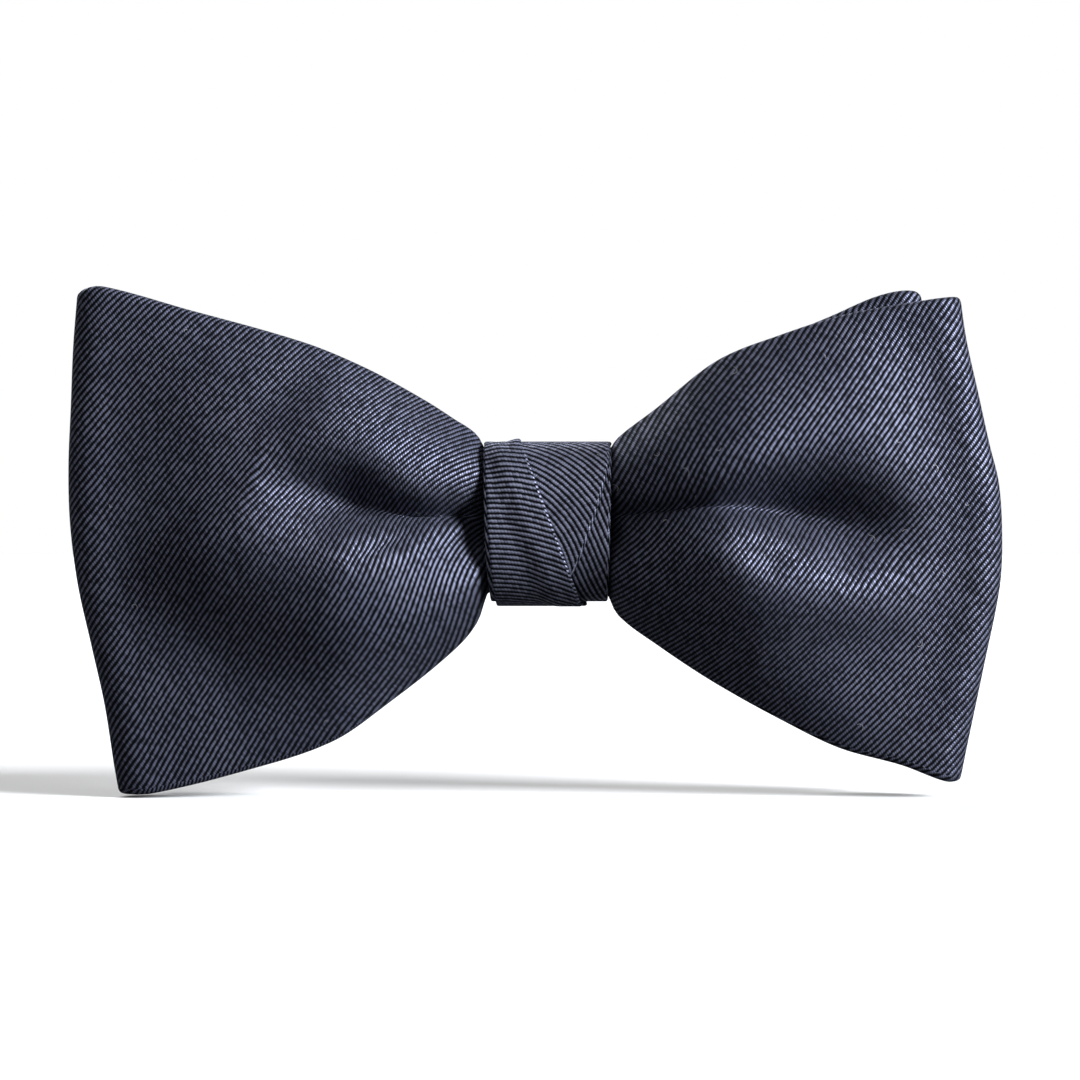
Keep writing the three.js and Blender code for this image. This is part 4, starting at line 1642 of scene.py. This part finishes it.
def front_bow(knot_side: float) -> Bow:
    """Cuts the front bow.

    Args:
        knot_side: From the middle of the knot to its side.

    Returns:
        The bow.
    """
    right = Wing(
        top=[(8.2, 9.4), (9.4, 11.2), (14.2, 14.9), (21.8, 20.9), (29.4, 24.0), (38, 26.7),
             (48, 28.5), (53.0, 29.2)],
        bottom=[(8.2, 9.4), (9.4, 11.9), (14.2, 15.6), (21.8, 20.7), (29.4, 25.0), (37, 28.7),
                (45, 30.9), (51, 33.0), (53.0, 32.9)],
        tip=[(-32.9, 53.0), (-28, 54), (-18, 56.1), (-8, 58.1), (-2, 58.4), (5, 58.0),
             (10, 56.8), (16.8, 55.3), (23.6, 53.8), (29.2, 53.0)],
        puff=7.6,
        twist=(10, -14),
        folds=[
            Fold([(7, 1.0), (14, 1.4), (20.6, 2.0), (27, 1.8), (33, 0.8), (40, -0.4), (46, -1),
                 (53, 0)], [1.6, 2.2, 2.8, 6.4, 7.4, 5.2, 2.4, 0],
                 [1.2, 1.6, 2.4, 4.0, 5.4, 5.8, 5.6, 5],
                 [0.9, 1.1, 1.6, 2.6, 3.6, 4.6, 5.6, 5]),
            Fold([(22, -1.6), (26.4, -4.0), (30, -6.6)], [0.1, 1.0, 0.1], [2.4, 2.6, 2.4],
                 [1.6, 1.8, 1.6]),
            Fold([(33, -3.2), (37, -5.2), (41, -7.0)], [0.1, 1.0, 0.1], [2.6, 2.8, 2.6],
                 [1.8, 2.0, 1.8]),
            Fold([(9, -2.0), (22.5, -4.8), (27, -8), (37, -10), (51, -6.5)],
                 [-0.9, -1.5, -1.1, -0.5, -0.1], [2.6, 3, 3.4, 4, 5], [4, 5.5, 6, 7, 7]),
            Fold([(26, -15), (39, -15.5), (52, -14)], [0.4, 1.2, 0.5], [3.6, 4, 4], [6, 7, 6]),
            Fold([(35, 21), (42, 15), (46, 6), (46, -4)], [-0.4, -1.1, -1.3, -0.4],
                 [12, 12, 11, 10], [11, 11, 10, 9]),
        ],
    )
    left = Wing(
        top=[(8.2, 9.4), (9.4, 11.6), (12.3, 13.6), (16.1, 16.0), (23.7, 20.1), (31.3, 23.2),
             (46.5, 27.5), (57.0, 30.3), (59.2, 30.0), (60.5, 29.0)],
        bottom=[(8.2, 9.4), (9.4, 12.9), (12.3, 16.4), (19.9, 22.6), (27.5, 27.9), (38.9, 31.7),
                (50.3, 34.4), (54.4, 34.6), (55.2, 34.2)],
        tip=[(-34.5, 55.0), (-30.6, 55.7), (-23, 56.9), (-15.4, 58.6), (-7.8, 60.3), (0, 61.3),
             (7.4, 61.5), (15, 61.2), (22.6, 60.9), (29.0, 60.4)],
        puff=7.6,
        twist=(27, -14),
        folds=[
            Fold([(7, 1.4), (14, 1.0), (19, 1.0), (24, 1.8), (29, 3.2), (37, 5.6)],
                 [1.8, 2.8, 5.0, 6.8, 5.0, 0.2], [1.4, 1.8, 2.8, 4.2, 5.0, 4.5],
                 [1.0, 1.4, 2.2, 3.6, 5.2, 5.4]),
            Fold([(15, -1.0), (20, -2.6), (26, -5)], [0.3, 1.6, 0.1], [1.8, 1.9, 1.9],
                 [1.4, 1.5, 1.5]),
            Fold([(16, -0.8), (23, -0.9), (33, -0.8), (40, -2), (46, -4.2), (55, -5)],
                 [-0.3, -0.8, -1.4, -2.1, -2.2, -0.6], [2.4, 3, 4, 4.5, 4.5, 5],
                 [4, 5, 6, 7, 7, 6]),
            Fold([(20, -21.5), (34, -19.5), (46, -15.0), (58, -9.0)], [0.5, 1.9, 1.9, 0.5],
                 [6, 8, 8, 7], [6, 8, 8.5, 8]),
            Fold([(28, 20), (35, 13.5), (42, 8)], [0.2, 1.1, 0.2], [4.5, 4.5, 4.5],
                 [4.5, 4.5, 4.5]),
        ],
    )
    layers = Layers(back_knot=-9.85, front_knot=-11.45, back_tip=-10.25, front_tip=-15.05)
    cuts = Cut(132, 242, 0.74), Cut(64, 240, 0.74)
    wings = {Side.RIGHT: right, Side.LEFT: left}
    return Bow("front_bow", wings, layers, knot_side, PINCH_HEIGHT, *cuts)


def rear_bow(knot_side: float) -> Bow:
    """Cuts the rear bow, a little smaller, so that one corner shows above the front one.

    Args:
        knot_side: From the middle of the knot to its side.

    Returns:
        The bow.
    """
    right = Wing(
        top=[(8.2, 9.4), (9.4, 10.6), (14.2, 14.2), (21.8, 19.6), (29.4, 23.9), (37, 27.2),
             (43, 29.7), (47.4, 30.4), (48.7, 29.4)],
        bottom=[(8.2, 9.4), (9.4, 10.8), (14.2, 14.6), (21.8, 19.3), (29.4, 23.3), (40, 28.0),
                (49.0, 30.2)],
        tip=[(-30.2, 49.2), (-15, 51.4), (0, 52.2), (15, 51.2), (29.4, 48.9)],
        back_folds=[
            Fold([(7, 0), (18, 0.5), (30, 2)], [-1.6, -1.2, 0], [2, 3, 5], [2, 3, 5]),
            Fold([(24, 10), (36, 12), (48, 9)], [0.2, 1.0, 0.2], [5, 7, 7], [5, 7, 7]),
        ],
    )
    left = Wing(
        top=[(8.2, 9.4), (9.4, 10.6), (14.2, 14.2), (23.7, 19.0), (31.3, 21.9), (46.5, 26.1),
             (54.6, 27.8)],
        bottom=[(8.2, 9.4), (9.4, 11.2), (14.2, 15.6), (21.8, 21.0), (29.4, 25.4), (40, 29.2),
                (50.6, 31.8)],
        tip=[(-31.8, 51.0), (-15, 54.4), (0, 56.0), (15, 56.2), (27.8, 55.0)],
        back_folds=[
            Fold([(7, 0), (18, -0.5), (30, -2)], [-1.6, -1.2, 0], [2, 3, 5], [2, 3, 5]),
            Fold([(24, -12), (36, -13), (48, -8)], [0.2, 1.0, 0.2], [5, 7, 7], [5, 7, 7]),
        ],
    )
    layers = Layers(back_knot=-6.25, front_knot=-7.85, back_tip=-4.05, front_tip=-7.45)
    cuts = Cut(124, 219, 0.68), Cut(60, 217, 0.68)
    wings = {Side.RIGHT: right, Side.LEFT: left}
    return Bow("rear_bow", wings, layers, knot_side, PINCH_HEIGHT, *cuts)


def main() -> None:
    """Builds the tie, piece by piece, and its studio."""
    twill = TwillFinish().material()
    felt = FeltFinish().material()
    thread = ThreadFinish().material()
    plated = SteelFinish(
        "nickel_plated_steel",
        colour=(0.62, 0.62, 0.6, 1),
        dull=(0.4, 0.4, 0.38, 1),
        roughness=0.24,
        grain=(700.0, 9000.0, 9000.0),
    ).material()
    wire = SteelFinish(
        "spring_wire",
        colour=(0.36, 0.37, 0.38, 1),
        dull=(0.22, 0.22, 0.23, 1),
        roughness=0.32,
        grain=(3000.0, 3000.0, 3000.0),
    ).material()
    Studio().camera()
    knot_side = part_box("knot_wrap")[1].x / MM
    for bow in (front_bow(knot_side), rear_bow(knot_side)):
        log.info("%s", bow.make_cloth(twill).name)
        log.info("%s", bow.make_interlining(felt).name)
    # The knot's cloth is the wings' twill with lighter thread and worn colours: painted light. Its
    # shallower gaps between floats are the weave's own.
    knot_twill_painted_lighter = TwillFinish(
        "knot_twill_painted_lighter", thread=(0.165, 0.175, 0.25, 1), worn=(0.215, 0.225, 0.31, 1), float_depth=0.24
    ).material()
    for piece in Wrap().make(knot_twill_painted_lighter):
        log.info("%s", piece.name)
    for piece in Threads().make(thread) + Clip().make(plated, wire):
        log.info("%s", piece.name)
    studio = Studio()
    studio.floor()
    studio.lights()


if __name__ == "__main__":
    main()
